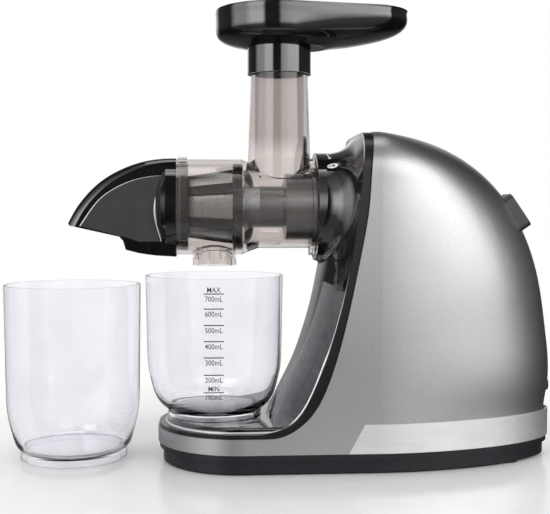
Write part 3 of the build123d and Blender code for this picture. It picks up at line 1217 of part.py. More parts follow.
# ---------------------------------------------------------------- export
NODES = {
    "silver_housing": make_silver_housing,
    "trim_band": make_trim_band,
    "front_cover": make_front_cover,
    "edge_strip": make_edge_strip,
    "base_tray": make_base_tray,
    "rubber_feet": make_feet,
    "base_screws": make_base_screws,
    "socket_ring": make_socket_ring,
    "drum": make_drum,
    "interlock_magnet": make_interlock_magnet,
    "interlock_sensor": make_interlock_sensor,
    "strainer_frame": make_strainer_frame,
    "strainer_mesh": make_strainer_mesh,
    "auger": make_auger,
    "auger_insert": make_auger_insert,
    "auger_seal": make_auger_seal,
    "end_cap": make_end_cap,
    "cap_bush": make_cap_bush,
    "cap_gasket": make_cap_gasket,
    "feed_tray": make_feed_tray,
    "juice_cup": make_juice_cup,
    "pulp_cup": make_pulp_cup,
    "output_shaft": make_output_shaft,
    "output_wheel": make_output_wheel,
    "shaft_seal": make_shaft_seal,
    "output_bearings": make_output_bearings,
    "idler_axle": make_idler_axle,
    "slow_pinion": make_slow_pinion,
    "fast_wheel": make_fast_wheel,
    "motor_pinion": make_motor_pinion,
    "gearbox_housing": make_gearbox_housing,
    "gearbox_lid": make_gearbox_lid,
    "gearbox_screws": make_gearbox_screws,
    "lid_screws": make_lid_screws,
    "front_bell": lambda: make_bell(LID_REAR_X, STATOR_FRONT_X),
    "rear_bell": lambda: make_bell(MOTOR_REAR_X, STATOR_REAR_X),
    "motor_bearings": make_motor_bearings,
    "motor_bolts": make_motor_bolts,
    "stator_core": make_stator_core,
    "stator_coils": make_stator_coils,
    "rotor_core": make_rotor_core,
    "motor_shaft": make_motor_shaft,
    "cooling_fan": make_cooling_fan,
    "motor_cradle": make_motor_cradle,
    "rubber_dampers": make_rubber_dampers,
    "control_board": make_control_board,
    "board_parts": make_board_parts,
    "control_bezel": make_control_bezel,
    "switch_body": make_switch_body,
    "rocker": make_rocker,
    "cord_gland": make_cord_gland,
}


def main():
    os.makedirs("parts", exist_ok=True)
    for name, make in NODES.items():
        made = make()
        solids = made if isinstance(made, list) else [made]
        pieces = [Pos(-CENTRE_X, 0, 0) * solid for shape in solids for solid in shape.solids()]
        node = pieces[0] if len(pieces) == 1 else Compound(children=pieces)
        export_step(node, f"parts/{name}.step")
        print(name, len(pieces), round(sum(piece.volume for piece in pieces)))


main()
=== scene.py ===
from math import cos, hypot, pi, radians, sin, sqrt

import bmesh
import bpy
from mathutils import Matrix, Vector
from mathutils.bvhtree import BVHTree


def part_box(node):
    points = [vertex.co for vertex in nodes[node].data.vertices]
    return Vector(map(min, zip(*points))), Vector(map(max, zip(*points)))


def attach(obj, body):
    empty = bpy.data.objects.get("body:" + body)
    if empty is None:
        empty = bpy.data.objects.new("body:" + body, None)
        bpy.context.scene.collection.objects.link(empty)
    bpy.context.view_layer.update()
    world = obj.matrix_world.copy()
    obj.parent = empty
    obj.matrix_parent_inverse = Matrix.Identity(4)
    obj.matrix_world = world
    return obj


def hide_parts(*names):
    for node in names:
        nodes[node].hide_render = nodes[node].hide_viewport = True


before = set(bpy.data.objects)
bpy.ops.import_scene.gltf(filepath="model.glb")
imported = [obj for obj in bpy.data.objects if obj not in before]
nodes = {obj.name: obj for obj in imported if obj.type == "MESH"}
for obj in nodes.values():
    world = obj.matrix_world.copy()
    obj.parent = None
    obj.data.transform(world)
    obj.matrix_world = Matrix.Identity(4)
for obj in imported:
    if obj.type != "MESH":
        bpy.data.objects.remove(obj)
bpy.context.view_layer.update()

# Sizes below are in millimetres, in the same places as the CAD: x from the axis of the feed tube.
MM = 0.001
JUICE_CUP_X = -51.6
cup_low, cup_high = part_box("juice_cup")
CENTRE_X = JUICE_CUP_X - (cup_low[0] + cup_high[0]) / 2 / MM
AXIS_Z = 200.0
NECK_RADIUS = 42.7
NECK_FACE_X = 27.8
COVER_HALF_WIDTH = 58.0
COVER_EDGE_RADIUS = 24.0
NOSE_CENTRE_X = -31.4
FLARE = 14.0                # the neck flares into the column over this much
BEAK_HALF_WIDTH = 24.0
OUTSIDE = 90.0              # a ray that looks for a surface from outside starts this far out


def place(x, y, z):
    return Vector(((x - CENTRE_X) * MM, y * MM, z * MM))


def hit(tree, start, way):
    """Where a ray from a point, along a direction, first meets a node's mesh, in millimetres."""
    found = tree.ray_cast(place(*start), Vector(way))[0]
    return None if found is None else (found.x / MM + CENTRE_X, found.y / MM, found.z / MM)


def tree_of(obj):
    mesh = obj.data
    return BVHTree.FromPolygons([v.co for v in mesh.vertices], [tuple(p.vertices) for p in mesh.polygons])


def new_object(name, data):
    obj = bpy.data.objects.new(name, data)
    bpy.context.scene.collection.objects.link(obj)
    return obj


# ---------------------------------------------------------------- materials
def new_material(name):
    mat = bpy.data.materials.new(name)
    mat.use_nodes = True
    tree = mat.node_tree
    return mat, tree, tree.nodes["Principled BSDF"]


def noise_of(tree, scale, detail=4.0, stretch=(1, 1, 1)):
    """Noise in the object's own coordinates, stretched along an axis if asked."""
    coords = tree.nodes.new("ShaderNodeTexCoord")
    mapping = tree.nodes.new("ShaderNodeMapping")
    mapping.inputs["Scale"].default_value = stretch
    noise = tree.nodes.new("ShaderNodeTexNoise")
    noise.inputs["Scale"].default_value = scale
    noise.inputs["Detail"].default_value = detail
    tree.links.new(coords.outputs["Object"], mapping.inputs["Vector"])
    tree.links.new(mapping.outputs["Vector"], noise.inputs["Vector"])
    return noise


def ramp_of(tree, source, low, high, start=0.35, end=0.65):
    ramp = tree.nodes.new("ShaderNodeValToRGB")
    ramp.color_ramp.elements[0].position = start
    ramp.color_ramp.elements[0].color = (*low, 1)
    ramp.color_ramp.elements[1].position = end
    ramp.color_ramp.elements[1].color = (*high, 1)
    tree.links.new(source, ramp.inputs["Fac"])
    return ramp


def spread_of(tree, source, low, high):
    spread = tree.nodes.new("ShaderNodeMapRange")
    spread.inputs["From Min"].default_value = 0.3
    spread.inputs["From Max"].default_value = 0.7
    spread.inputs["To Min"].default_value = low
    spread.inputs["To Max"].default_value = high
    tree.links.new(source, spread.inputs["Value"])
    return spread


def surface(name, color, rough, vary=0.1, scale=60.0, bump=0.0, bump_scale=900.0, metallic=0.0,
            coat=0.0, coat_rough=0.05, ior=1.5, stretch=(1, 1, 1), rough_vary=0.12):
    """Moulded, painted or metal surface with colour, gloss and relief that vary a little."""
    mat, tree, bsdf = new_material(name)
    tone = noise_of(tree, scale, stretch=stretch)
    low = [c * (1 - vary) for c in color]
    high = [min(c * (1 + vary), 1) for c in color]
    tree.links.new(ramp_of(tree, tone.outputs["Fac"], low, high).outputs["Color"], bsdf.inputs["Base Color"])
    gloss = noise_of(tree, scale * 2.3, 3.0, stretch)
    spread = spread_of(tree, gloss.outputs["Fac"], rough * (1 - rough_vary), rough * (1 + rough_vary))
    tree.links.new(spread.outputs["Result"], bsdf.inputs["Roughness"])
    bsdf.inputs["Metallic"].default_value = metallic
    bsdf.inputs["Coat Weight"].default_value = coat
    bsdf.inputs["Coat Roughness"].default_value = coat_rough
    bsdf.inputs["IOR"].default_value = ior
    if bump:
        relief = noise_of(tree, bump_scale, 2.0, stretch)
        node = tree.nodes.new("ShaderNodeBump")
        node.inputs["Strength"].default_value = bump
        node.inputs["Distance"].default_value = 0.0004
        tree.links.new(relief.outputs["Fac"], node.inputs["Height"])
        tree.links.new(node.outputs["Normal"], bsdf.inputs["Normal"])
    return mat


def clear(name, color, rough, ior=1.46, vary=0.03, scale=25.0, above=None):
    """See-through moulding with a slight tint that varies through it, deeper above a height if asked."""
    mat, tree, bsdf = new_material(name)
    tone = noise_of(tree, scale, 2.0)
    low = [c * (1 - vary) for c in color]
    high = [min(c * (1 + vary), 1) for c in color]
    tint = ramp_of(tree, tone.outputs["Fac"], low, high).outputs["Color"]
    if above:
        deep, start, end = above
        coords = tree.nodes.new("ShaderNodeTexCoord")
        split = tree.nodes.new("ShaderNodeSeparateXYZ")
        tree.links.new(coords.outputs["Object"], split.inputs["Vector"])
        rise = tree.nodes.new("ShaderNodeMapRange")
        rise.inputs["From Min"].default_value = start * MM
        rise.inputs["From Max"].default_value = end * MM
        tree.links.new(split.outputs["Z"], rise.inputs["Value"])
        mix = tree.nodes.new("ShaderNodeMix")
        mix.data_type = "RGBA"
        tree.links.new(rise.outputs["Result"], mix.inputs["Factor"])
        tree.links.new(tint, mix.inputs["A"])
        mix.inputs["B"].default_value = (*deep, 1)
        tint = mix.outputs["Result"]
    tree.links.new(tint, bsdf.inputs["Base Color"])
    spread = spread_of(tree, tone.outputs["Fac"], rough, rough + 0.03)
    tree.links.new(spread.outputs["Result"], bsdf.inputs["Roughness"])
    bsdf.inputs["Transmission Weight"].default_value = 1.0
    bsdf.inputs["IOR"].default_value = ior
    return mat


def metal_paint(name, color):
    """Silver lacquer: fine flakes in a satin base under a soft clear coat."""
    mat, tree, bsdf = new_material(name)
    flakes = tree.nodes.new("ShaderNodeTexVoronoi")
    flakes.inputs["Scale"].default_value = 2200.0
    coords = tree.nodes.new("ShaderNodeTexCoord")
    tree.links.new(coords.outputs["Object"], flakes.inputs["Vector"])
    low = [c * 0.93 for c in color]
    high = [c * 1.06 for c in color]
    ramp = ramp_of(tree, flakes.outputs["Color"], low, high, 0.2, 0.8)
    tree.links.new(ramp.outputs["Color"], bsdf.inputs["Base Color"])
    cloud = noise_of(tree, 9.0, 2.0)
    spread = spread_of(tree, cloud.outputs["Fac"], 0.36, 0.42)
    tree.links.new(spread.outputs["Result"], bsdf.inputs["Roughness"])
    bsdf.inputs["Metallic"].default_value = 0.95
    bsdf.inputs["Coat Weight"].default_value = 0.25
    bsdf.inputs["Coat Roughness"].default_value = 0.22
    return mat


BLACK = (0.007, 0.007, 0.008)
mats = {
    "gloss": surface("piano_black", BLACK, 0.06, 0.15, 30, coat=0.4, coat_rough=0.03, ior=1.6),
    "bezel": surface("bezel_grey", (0.05, 0.05, 0.054), 0.36, 0.1, 80, 0.1, 1800, metallic=0.5),
    "strip": surface("edge_black", (0.012, 0.012, 0.013), 0.2, 0.15, 80, ior=1.33),
    "cheek": surface("satin_charcoal", (0.026, 0.026, 0.027), 0.46, 0.1, 90, 0.12, 2600),
    # pale bead colour is a painted highlight for the light caught on the black cover's rounded edge
    "bead": surface("bead_painted_highlight", (0.72, 0.72, 0.73), 0.25, 0.05, 120, metallic=0.35),
    # pale line colour is painted highlight along the beak cheek's rim and the hollow round into the dome
    "edge": surface("line_painted_highlight", (0.66, 0.66, 0.66), 0.25, 0.05, 120, metallic=0.2),
    "paint": metal_paint("silver_lacquer", (0.37, 0.368, 0.37)),
    "trim": surface("satin_band", (0.66, 0.66, 0.665), 0.42, 0.04, 160, 0.05, 1500, metallic=0.75,
                    stretch=(0.05, 1, 1)),
    "base": surface("charcoal_base", (0.010, 0.0105, 0.014), 0.42, 0.12, 70, 0.2, 2200, ior=1.35),
    "rubber": surface("black_rubber", (0.018, 0.018, 0.018), 0.75, 0.15, 90, 0.25, 1800),
    "seal": surface("grey_silicone", (0.28, 0.28, 0.28), 0.55, 0.08, 60, 0.1, 1500),
    "dark": surface("dark_moulding", (0.03, 0.03, 0.031), 0.4, 0.12, 80, 0.1, 1800),
    "black": surface("strainer_black", (0.016, 0.016, 0.017), 0.38, 0.12, 80, 0.1, 1800),
    "white": surface("acetal_white", (0.74, 0.73, 0.69), 0.38, 0.05, 60, 0.06, 1500),
    "auger": surface("auger_grey", (0.12, 0.12, 0.125), 0.24, 0.1, 70, 0.1, 1600, coat=0.3),
    "steel": surface("plain_steel", (0.56, 0.56, 0.57), 0.32, 0.06, 150, 0.05, 1800, metallic=1.0,
                     stretch=(0.2, 1, 1)),
    "mesh": surface("strainer_steel", (0.62, 0.62, 0.62), 0.3, 0.06, 200, 0.05, 1800, metallic=0.9),
    "ground": surface("ground_steel", (0.62, 0.62, 0.63), 0.16, 0.05, 150, metallic=1.0),
    "cast": surface("die_cast_grey", (0.42, 0.42, 0.43), 0.48, 0.08, 60, 0.3, 900, metallic=0.8),
    "stack": surface("sheet_stack", (0.30, 0.30, 0.31), 0.42, 0.22, 900, 0.2, 900, metallic=0.9,
                     stretch=(1, 0.02, 0.02)),
    "copper": surface("copper_winding", (0.62, 0.26, 0.10), 0.34, 0.2, 500, 0.3, 700, metallic=0.9),
    "zinc": surface("zinc_sheet", (0.6, 0.6, 0.58), 0.36, 0.08, 40, metallic=0.9),
    "board": surface("board_green", (0.02, 0.15, 0.06), 0.42, 0.15, 150, 0.1, 900),
    "smoke": clear("smoke_clear", (0.74, 0.70, 0.68), 0.03, 1.5, above=((0.56, 0.52, 0.50), 242, 256)),
    "cup": clear("cup_clear", (0.935, 0.935, 0.965), 0.01, 1.47),
    "ink": surface("print_black", (0.02, 0.02, 0.02), 0.5, 0.1, 200),
    "ink_white": surface("print_white", (0.85, 0.85, 0.85), 0.45, 0.04, 200),
}
node_looks = {
    "paint": ["silver_housing"],
    "bezel": ["control_bezel"],
    "trim": ["trim_band"],
    "gloss": ["front_cover", "end_cap", "feed_tray"],
    "strip": ["edge_strip", "rocker"],
    "base": ["base_tray"],
    "rubber": ["rubber_feet", "rubber_dampers", "cord_gland"],
    "seal": ["auger_seal", "cap_gasket", "shaft_seal"],
    "dark": ["socket_ring", "interlock_sensor", "cooling_fan", "switch_body", "board_parts"],
    "black": ["strainer_frame"],
    "white": ["cap_bush", "output_wheel", "fast_wheel"],
    "auger": ["auger"],
    "steel": ["base_screws", "auger_insert", "interlock_magnet", "output_shaft", "idler_axle",
              "gearbox_screws", "lid_screws", "motor_bolts"],
    "mesh": ["strainer_mesh"],
    "ground": ["output_bearings", "motor_bearings", "slow_pinion", "motor_pinion", "motor_shaft"],
    "cast": ["gearbox_housing", "gearbox_lid", "front_bell", "rear_bell"],
    "stack": ["stator_core", "rotor_core"],
    "copper": ["stator_coils"],
    "zinc": ["motor_cradle"],
    "board": ["control_board"],
    "smoke": ["drum"],
    "cup": ["juice_cup", "pulp_cup"],
}
for look, names in node_looks.items():
    for name in names:
        mesh = nodes[name].data
        mesh.materials.clear()
        mesh.materials.append(mats[look])


# ---------------------------------------------------------------- mesh helpers
def add_piece(name, verts, faces, look, body, slot, smooth=True):
    mesh = bpy.data.meshes.new(name)
    mesh.from_pydata(verts, [], faces)
    bm = bmesh.new()
    bm.from_mesh(mesh)
    bmesh.ops.recalc_face_normals(bm, faces=bm.faces)
    bm.to_mesh(mesh)
    bm.free()
    for poly in mesh.polygons:
        poly.use_smooth = smooth
    mesh.set_sharp_from_angle(angle=radians(38))
    mesh.materials.append(mats[look])
    obj = new_object(name, mesh)
    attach(obj, body)
    return obj


def tube(path, radius, sides=10, closed=False):
    """Round bar that follows a path of points in millimetres."""
    count = len(path)
    verts, faces = [], []
    side = None
    for i, point in enumerate(path):
        before = path[i - 1] if (i or closed) else point
        after = path[(i + 1) % count] if (i < count - 1 or closed) else point
        run = (Vector(after) - Vector(before)).normalized()
        if side is None:
            side = run.orthogonal().normalized()
        side = (side - run * side.dot(run)).normalized()
        other = run.cross(side)
        for k in range(sides):
            turn = 2 * pi * k / sides
            offset = side * (radius * cos(turn)) + other * (radius * sin(turn))
            verts.append(place(*(Vector(point) + offset)))
    last = count if closed else count - 1
    shift = 0
    if closed:
        # the frame may have turned on its way round, so the last ring joins the nearest corner
        first = verts[0]
        ring = verts[(count - 1) * sides:]
        shift = min(range(sides), key=lambda k: (ring[k] - first).length)
    for i in range(last):
        a = i * sides
        b = ((i + 1) % count) * sides
        turn_by = shift if closed and i == count - 1 else 0
        for k in range(sides):
            k2 = (k + 1) % sides
            faces.append((a + (k + turn_by) % sides, a + (k2 + turn_by) % sides, b + k2, b + k))
    if not closed:
        faces.append(tuple(range(sides)))
        faces.append(tuple((count - 1) * sides + k for k in range(sides)))
    return verts, faces


def smooth_path(points, steps):
    """Catmull-Rom curve through points."""
    result = []
    for i in range(len(points) - 1):
        p0 = Vector(points[max(i - 1, 0)])
        p1, p2 = Vector(points[i]), Vector(points[i + 1])
        p3 = Vector(points[min(i + 2, len(points) - 1)])
        for s in range(steps):
            t = s / steps
            result.append(0.5 * (2 * p1 + (p2 - p0) * t + (2 * p0 - 5 * p1 + 4 * p2 - p3) * t * t
                                 + (3 * p1 - p0 - 3 * p2 + p3) * t ** 3))
    result.append(Vector(points[-1]))
    return result


# ---------------------------------------------------------------- bead round the front cover, a painted highlight on its edge
BEAD_LINE = [(-9, 31.5), (0.5, 34.2), (6.6, 39), (14, 47.8), (21.5, 62), (28.6, 80), (35.9, 99), (43.1, 124),
             (49.0, 150), (53.3, 176), (57.6, 212), (59.4, 231)]
BEAD_RADIUS = 1.0
BEAD_REACH = COVER_HALF_WIDTH + 0.5     # from the cover's middle plane to the bead's middle
BEAD_NOSE_Z = 31.2
ARCH_LEAN = 1.3                         # how far back the arch over the brow leans
ARCH_RISE = COVER_EDGE_RADIUS + 0.4
ARCH_STEPS = 9
NOSE_STEPS = 24


def bead_side(sign):
    return smooth_path([(x, sign * BEAD_REACH, z) for x, z in BEAD_LINE], 6)


def add_cover_bead():
    brow_x, brow_z = BEAD_LINE[-1]
    arch, nose = [], []
    for step in range(1, ARCH_STEPS):
        turn = radians(90 * step / ARCH_STEPS)
        y = BEAD_REACH - COVER_EDGE_RADIUS * (1 - cos(turn))
        arch.append(Vector((brow_x + ARCH_LEAN * sin(turn), -y, brow_z + ARCH_RISE * sin(turn))))
    for step in range(NOSE_STEPS + 1):
        turn = radians(90 + 180 * step / NOSE_STEPS)
        nose.append(Vector((NOSE_CENTRE_X + BEAD_REACH * cos(turn), BEAD_REACH * sin(turn), BEAD_NOSE_Z)))
    far_arch = [Vector((p.x, -p.y, p.z)) for p in reversed(arch)]
    loop = bead_side(-1) + arch + far_arch + bead_side(1)[::-1] + nose
    # the bead is pale all round: a painted highlight standing in for the cover edge's reflection
    add_piece("cover_edge_highlight", *tube(loop, BEAD_RADIUS, closed=True), "bead", "base", "dark_trim")


add_cover_bead()


# ---------------------------------------------------------------- neck flare
FLARE_GAP = 0.3             # rays at the flare's foot pass this far outside the neck
FLARE_SUNK = 0.5            # hidden faces lie this far inside the neck
FLARE_BEHIND = 1.0          # and this far behind the column's face
FLARE_SHRINK = 0.5          # step by which a flare that would miss the column gets smaller


def add_neck_flare(turns=96, steps=8):
    """The neck runs out into the column and the brow in a hollow round."""
    cover = tree_of(nodes["front_cover"])
    verts, faces = [], []

    def column_x(reach, turn):
        start = (NECK_FACE_X - 8, -reach * sin(turn), AXIS_Z + reach * cos(turn))
        found = hit(cover, start, (1, 0, 0))
        return None if found is None else found[0]

    def point(x, reach, turn):
        return place(x, -reach * sin(turn), AXIS_Z + reach * cos(turn))

    for k in range(turns):
        turn = 2 * pi * k / turns
        foot_x = column_x(NECK_RADIUS + FLARE_GAP, turn)
        spread = min(FLARE, 0.8 * (foot_x - NECK_FACE_X))
        while column_x(NECK_RADIUS + spread, turn) is None:
            spread -= FLARE_SHRINK
        for step in range(steps + 1):
            out = spread * step / steps
            rise = spread - sqrt(max(spread ** 2 - (spread - out) ** 2, 0))
            column = column_x(NECK_RADIUS + max(out, FLARE_GAP), turn)
            verts.append(point(column - rise, NECK_RADIUS + out, turn))
        last_x = column_x(NECK_RADIUS + spread, turn)
        verts.append(point(last_x + FLARE_BEHIND, NECK_RADIUS + spread, turn))
        verts.append(point(foot_x + FLARE_BEHIND, NECK_RADIUS - FLARE_SUNK, turn))
        verts.append(point(foot_x - spread, NECK_RADIUS - FLARE_SUNK, turn))
    count = steps + 4
    for k in range(turns):
        a, b = k * count, (k + 1) % turns * count
        faces.extend((a + i, a + (i + 1) % count, b + (i + 1) % count, b + i) for i in range(count))
    return add_piece("neck_flare", verts, faces, "gloss", "base", "gloss_black")


neck_flare = add_neck_flare()


# ---------------------------------------------------------------- strainer
STRAINER_ENDS = [(-72.3, 21.85), (-36.7, 26.95)]    # (x, radius) down the middle of the sheet
STRAINER_PITCH = 1.8
STRAINER_BAR = 0.3
STRAINER_SHEET = 0.4


def add_strainer():
    """Cone of steel sheet with rows of diamond holes, each row half a pitch on from the last."""
    (x0, r0), (x1, r1) = STRAINER_ENDS
    around = round(2 * pi * (r0 + r1) / 2 / STRAINER_PITCH)
    rows = 2 * round((x1 - x0) / STRAINER_PITCH)
    bm = bmesh.new()
    grid = []
    for i in range(rows + 1):
        x, reach = x0 + (x1 - x0) * i / rows, r0 + (r1 - r0) * i / rows
        turns = [2 * pi * (k + 0.5 * (i % 2)) / around for k in range(around)]
        grid.append([bm.verts.new(place(x, reach * sin(t), AXIS_Z + reach * cos(t))) for t in turns])
    windows = []
    for i in range(rows + 1):
        for k in range(around):
            # a diamond's side corners lie half a pitch to each side, in the next row
            left, right = (k - 1 + i % 2) % around, (k + i % 2) % around
            if i + 2 <= rows:
                corners = (grid[i][k], grid[i + 1][left], grid[i + 2][k], grid[i + 1][right])
                windows.append(bm.faces.new(corners))
            if i == 0:
                bm.faces.new((grid[0][k], grid[0][(k + 1) % around], grid[1][k]))
            if i == rows:
                bm.faces.new((grid[rows][k], grid[rows][(k + 1) % around], grid[rows - 1][right]))
    bmesh.ops.recalc_face_normals(bm, faces=bm.faces)
    bmesh.ops.inset_individual(bm, faces=windows, thickness=STRAINER_BAR * MM)
    bmesh.ops.delete(bm, geom=windows, context="FACES_ONLY")
    mesh = bpy.data.meshes.new("strainer_lattice")
    bm.to_mesh(mesh)
    bm.free()
    mesh.materials.append(mats["mesh"])
    obj = new_object("strainer_lattice", mesh)
    sheet = obj.modifiers.new("sheet", "SOLIDIFY")
    sheet.thickness = STRAINER_SHEET * MM
    sheet.offset = 0.0
    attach(obj, "drum")
    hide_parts("strainer_mesh")


add_strainer()


# ---------------------------------------------------------------- beak cheeks
CHEEK_TOP = [(-154.0, 185.3), (-141.7, 202.8), (-130.3, 212.3), (-115.2, 219.6), (-100.0, 223.1),
             (-92.0, 223.5)]
CHEEK_REAR = [(-92.0, 223.5), (-94.9, 212.8), (-97.2, 198.3), (-95.8, 186.0), (-92.4, 173.3)]
CHEEK_LOW = [(-109.2, 173.2), (-119.9, 176.7), (-130.4, 179.4), (-147.0, 183.4)]
CHEEK_SUNK = 0.2            # into the beak's side
CHEEK_PROUD = 0.35
LINE_PROUD = 0.3
LINE_SIDES = 8
LINE_END = 0.12             # radius at the ends of a line with a peak


def line_radius(share, thick, peak):
    """Radius a share of the way along a line that is thickest at its peak, or at its start."""
    if not peak:
        return thick * (1 - 0.8 * share)
    rise = share / peak if share < peak else (1 - share) / (1 - peak)
    return LINE_END + (thick - LINE_END) * sin(pi / 2 * rise)


def tapered(points, sign, thick, peak=0.0):
    """Pale round line on the beak's side, a painted highlight that fades as it thins to its ends."""
    path = smooth_path([(x, sign * (BEAK_HALF_WIDTH + LINE_PROUD), z) for x, z in points], 6)
    verts, faces = tube(path, 1.0, LINE_SIDES)
    for i, middle in enumerate(path):
        radius = line_radius(i / (len(path) - 1), thick, peak)
        centre = place(*middle)
        for k in range(LINE_SIDES * i, LINE_SIDES * (i + 1)):
            verts[k] = centre + (verts[k] - centre) * radius
    return verts, faces


def cheek(sign, name):
    top = smooth_path([(x, 0, z) for x, z in CHEEK_TOP], 5)
    rear = smooth_path([(x, 0, z) for x, z in CHEEK_REAR], 5)[1:]
    ring = [(p.x, p.z) for p in top + rear] + CHEEK_LOW
    count = len(ring)
    inner, outer = BEAK_HALF_WIDTH - CHEEK_SUNK, BEAK_HALF_WIDTH + CHEEK_PROUD
    verts = [place(x, sign * inner, z) for x, z in ring] + [place(x, sign * outer, z) for x, z in ring]
    faces = [tuple(range(count)), tuple(range(count, 2 * count))]
    for i in range(count):
        j = (i + 1) % count
        faces.append((i, j, count + j, count + i))
    add_piece(f"beak_cheek_{name}", verts, faces, "cheek", "cap", "black_plastic", smooth=False)
    # pale tapered lines: painted highlights on the cheek's rounded rim and on the hollow round into the dome
    add_piece(f"beak_highlight_line_{name}", *tapered(CHEEK_TOP, sign, 0.5), "edge", "cap", "dark_trim")
    add_piece(f"dome_highlight_line_{name}", *tapered(CHEEK_REAR, sign, 0.95, 0.45), "edge", "cap", "dark_trim")


cheek(-1, "near")
cheek(1, "far")


# ---------------------------------------------------------------- printed marks
TEXT_SIZE = 5.6
TEXT_DROP = 1.2             # from a mark's line down to the top of its words
TEXT_SQUEEZE = 0.86         # width of the letters against their own
INK_PROUD = 0.12
MARK_HALF = 7.5             # half the length of a mark's line
MARK_HALF_HEIGHT = 0.4
MARK_STEPS = 10


def text_verts(body):
    """Outline letters as a flat mesh, centred, in millimetres."""
    curve = bpy.data.curves.new("letters", "FONT")
    curve.body = body
    curve.align_x = "CENTER"
    curve.align_y = "TOP"
    curve.size = TEXT_SIZE
    curve.offset = 0.03
    curve.resolution_u = 3
    obj = new_object("letters", curve)
    bpy.context.view_layer.update()
    mesh = bpy.data.meshes.new_from_object(obj.evaluated_get(bpy.context.evaluated_depsgraph_get()))
    verts = [(v.co.x, v.co.y) for v in mesh.vertices]
    faces = [tuple(p.vertices) for p in mesh.polygons]
    bpy.data.objects.remove(obj)
    bpy.data.curves.remove(curve)
    bpy.data.meshes.remove(mesh)
    return verts, faces


cup_tree = tree_of(nodes["juice_cup"])


def on_cup(u, z):
    """Point on the near side of the juice cup, u millimetres right of the marks' middle."""
    x, y, z = hit(cup_tree, (JUICE_CUP_X - 1 + u, -OUTSIDE, z), (0, 1, 0))
    return place(x, y - INK_PROUD, z)


MARKS = [("700mL", 135.1), ("600mL", 123.9), ("500mL", 111.6), ("400mL", 99.5), ("300mL", 87.3),
         ("200mL", 74.2), ("100mL", 60.5)]


def add_marks():
    verts, faces = [], []

    def add(points, corners, base_z, squeeze=TEXT_SQUEEZE):
        start = len(verts)
        verts.extend(on_cup(u * squeeze, base_z + v) for u, v in points)
        faces.extend(tuple(start + i for i in face) for face in corners)

    row = MARK_STEPS + 1
    pace = 2 * MARK_HALF / MARK_STEPS
    line = [(-MARK_HALF + pace * i, h) for h in (MARK_HALF_HEIGHT, -MARK_HALF_HEIGHT) for i in range(row)]
    panes = [(i, i + 1, i + 1 + row, i + row) for i in range(MARK_STEPS)]
    for words, z in MARKS:
        add(line, panes, z, 1.0)
        add(*text_verts(words), z - TEXT_DROP)
    add(*text_verts("MAX"), MARKS[0][1] + TEXT_SIZE)
    add(*text_verts("MIN"), MARKS[-1][1] + TEXT_SIZE)
    add_piece("volume_marks", verts, faces, "ink", "juice_cup", "component_black", smooth=False)


add_marks()


LOCK_X = 39.0
LOCK_ARC = 33.0             # from the neck's top, down its near side
neck_trees = [tree_of(nodes["front_cover"]), tree_of(neck_flare)]


def on_neck(x, arc, lift=0.1):
    """Point on the neck or its flare, arc millimetres down the near side from the top."""
    turn = arc / NECK_RADIUS
    out = Vector((0, -sin(turn), cos(turn)))
    start = (x, OUTSIDE * out.y, AXIS_Z + OUTSIDE * out.z)
    found = [hit(tree, start, -out) for tree in neck_trees]
    reach = max(hypot(p[1], p[2] - AXIS_Z) for p in found if p) + lift
    return place(x, reach * out.y, AXIS_Z + reach * out.z)


def add_lock_marks():
    verts, faces = [], []

    def disc(x, arc, across, along, sides=20, lift=0.1):
        start = len(verts)
        for k in range(sides):
            turn = 2 * pi * k / sides
            verts.append(on_neck(x + across * cos(turn), arc + along * sin(turn), lift))
        faces.append(tuple(range(start, start + sides)))

    def bar(x0, arc0, x1, arc1, half=0.45, lift=0.1, steps=6):
        start = len(verts)
        for i in range(steps + 1):
            t = i / steps
            x, arc = x0 + (x1 - x0) * t, arc0 + (arc1 - arc0) * t
            verts.extend((on_neck(x - half, arc, lift), on_neck(x + half, arc, lift)))
        for a in range(start, start + 2 * steps, 2):
            faces.append((a, a + 1, a + 3, a + 2))

    bar(35.6, 6, 37.6, 20)
    disc(37.8, 21.5, 1.2, 1.4)
    disc(LOCK_X, LOCK_ARC, 4.2, 2.6)
    add_piece("lock_marks", verts, faces, "ink_white", "base", "white_plastic", smooth=False)
    verts, faces = [], []
    disc(LOCK_X + 0.8, LOCK_ARC, 1.5, 1.3, lift=0.2)
    bar(LOCK_X - 2.2, LOCK_ARC - 0.9, LOCK_X - 2.2, LOCK_ARC + 0.9, lift=0.2)
    add_piece("lock_glyph", verts, faces, "ink", "base", "component_black", smooth=False)


add_lock_marks()


# ---------------------------------------------------------------- floor, world, lamps, camera
def maths(tree, kind, a, b):
    """Math node on two sockets or numbers."""
    node = tree.nodes.new("ShaderNodeMath")
    node.operation = kind
    for i, value in enumerate((a, b)):
        if isinstance(value, (int, float)):
            node.inputs[i].default_value = value
        else:
            tree.links.new(value, node.inputs[i])
    return node.outputs["Value"]


def mix_shaders(tree, share, first, second):
    mix = tree.nodes.new("ShaderNodeMixShader")
    tree.links.new(share, mix.inputs["Fac"])
    tree.links.new(first, mix.inputs[1])
    tree.links.new(second, mix.inputs[2])
    return mix.outputs["Shader"]


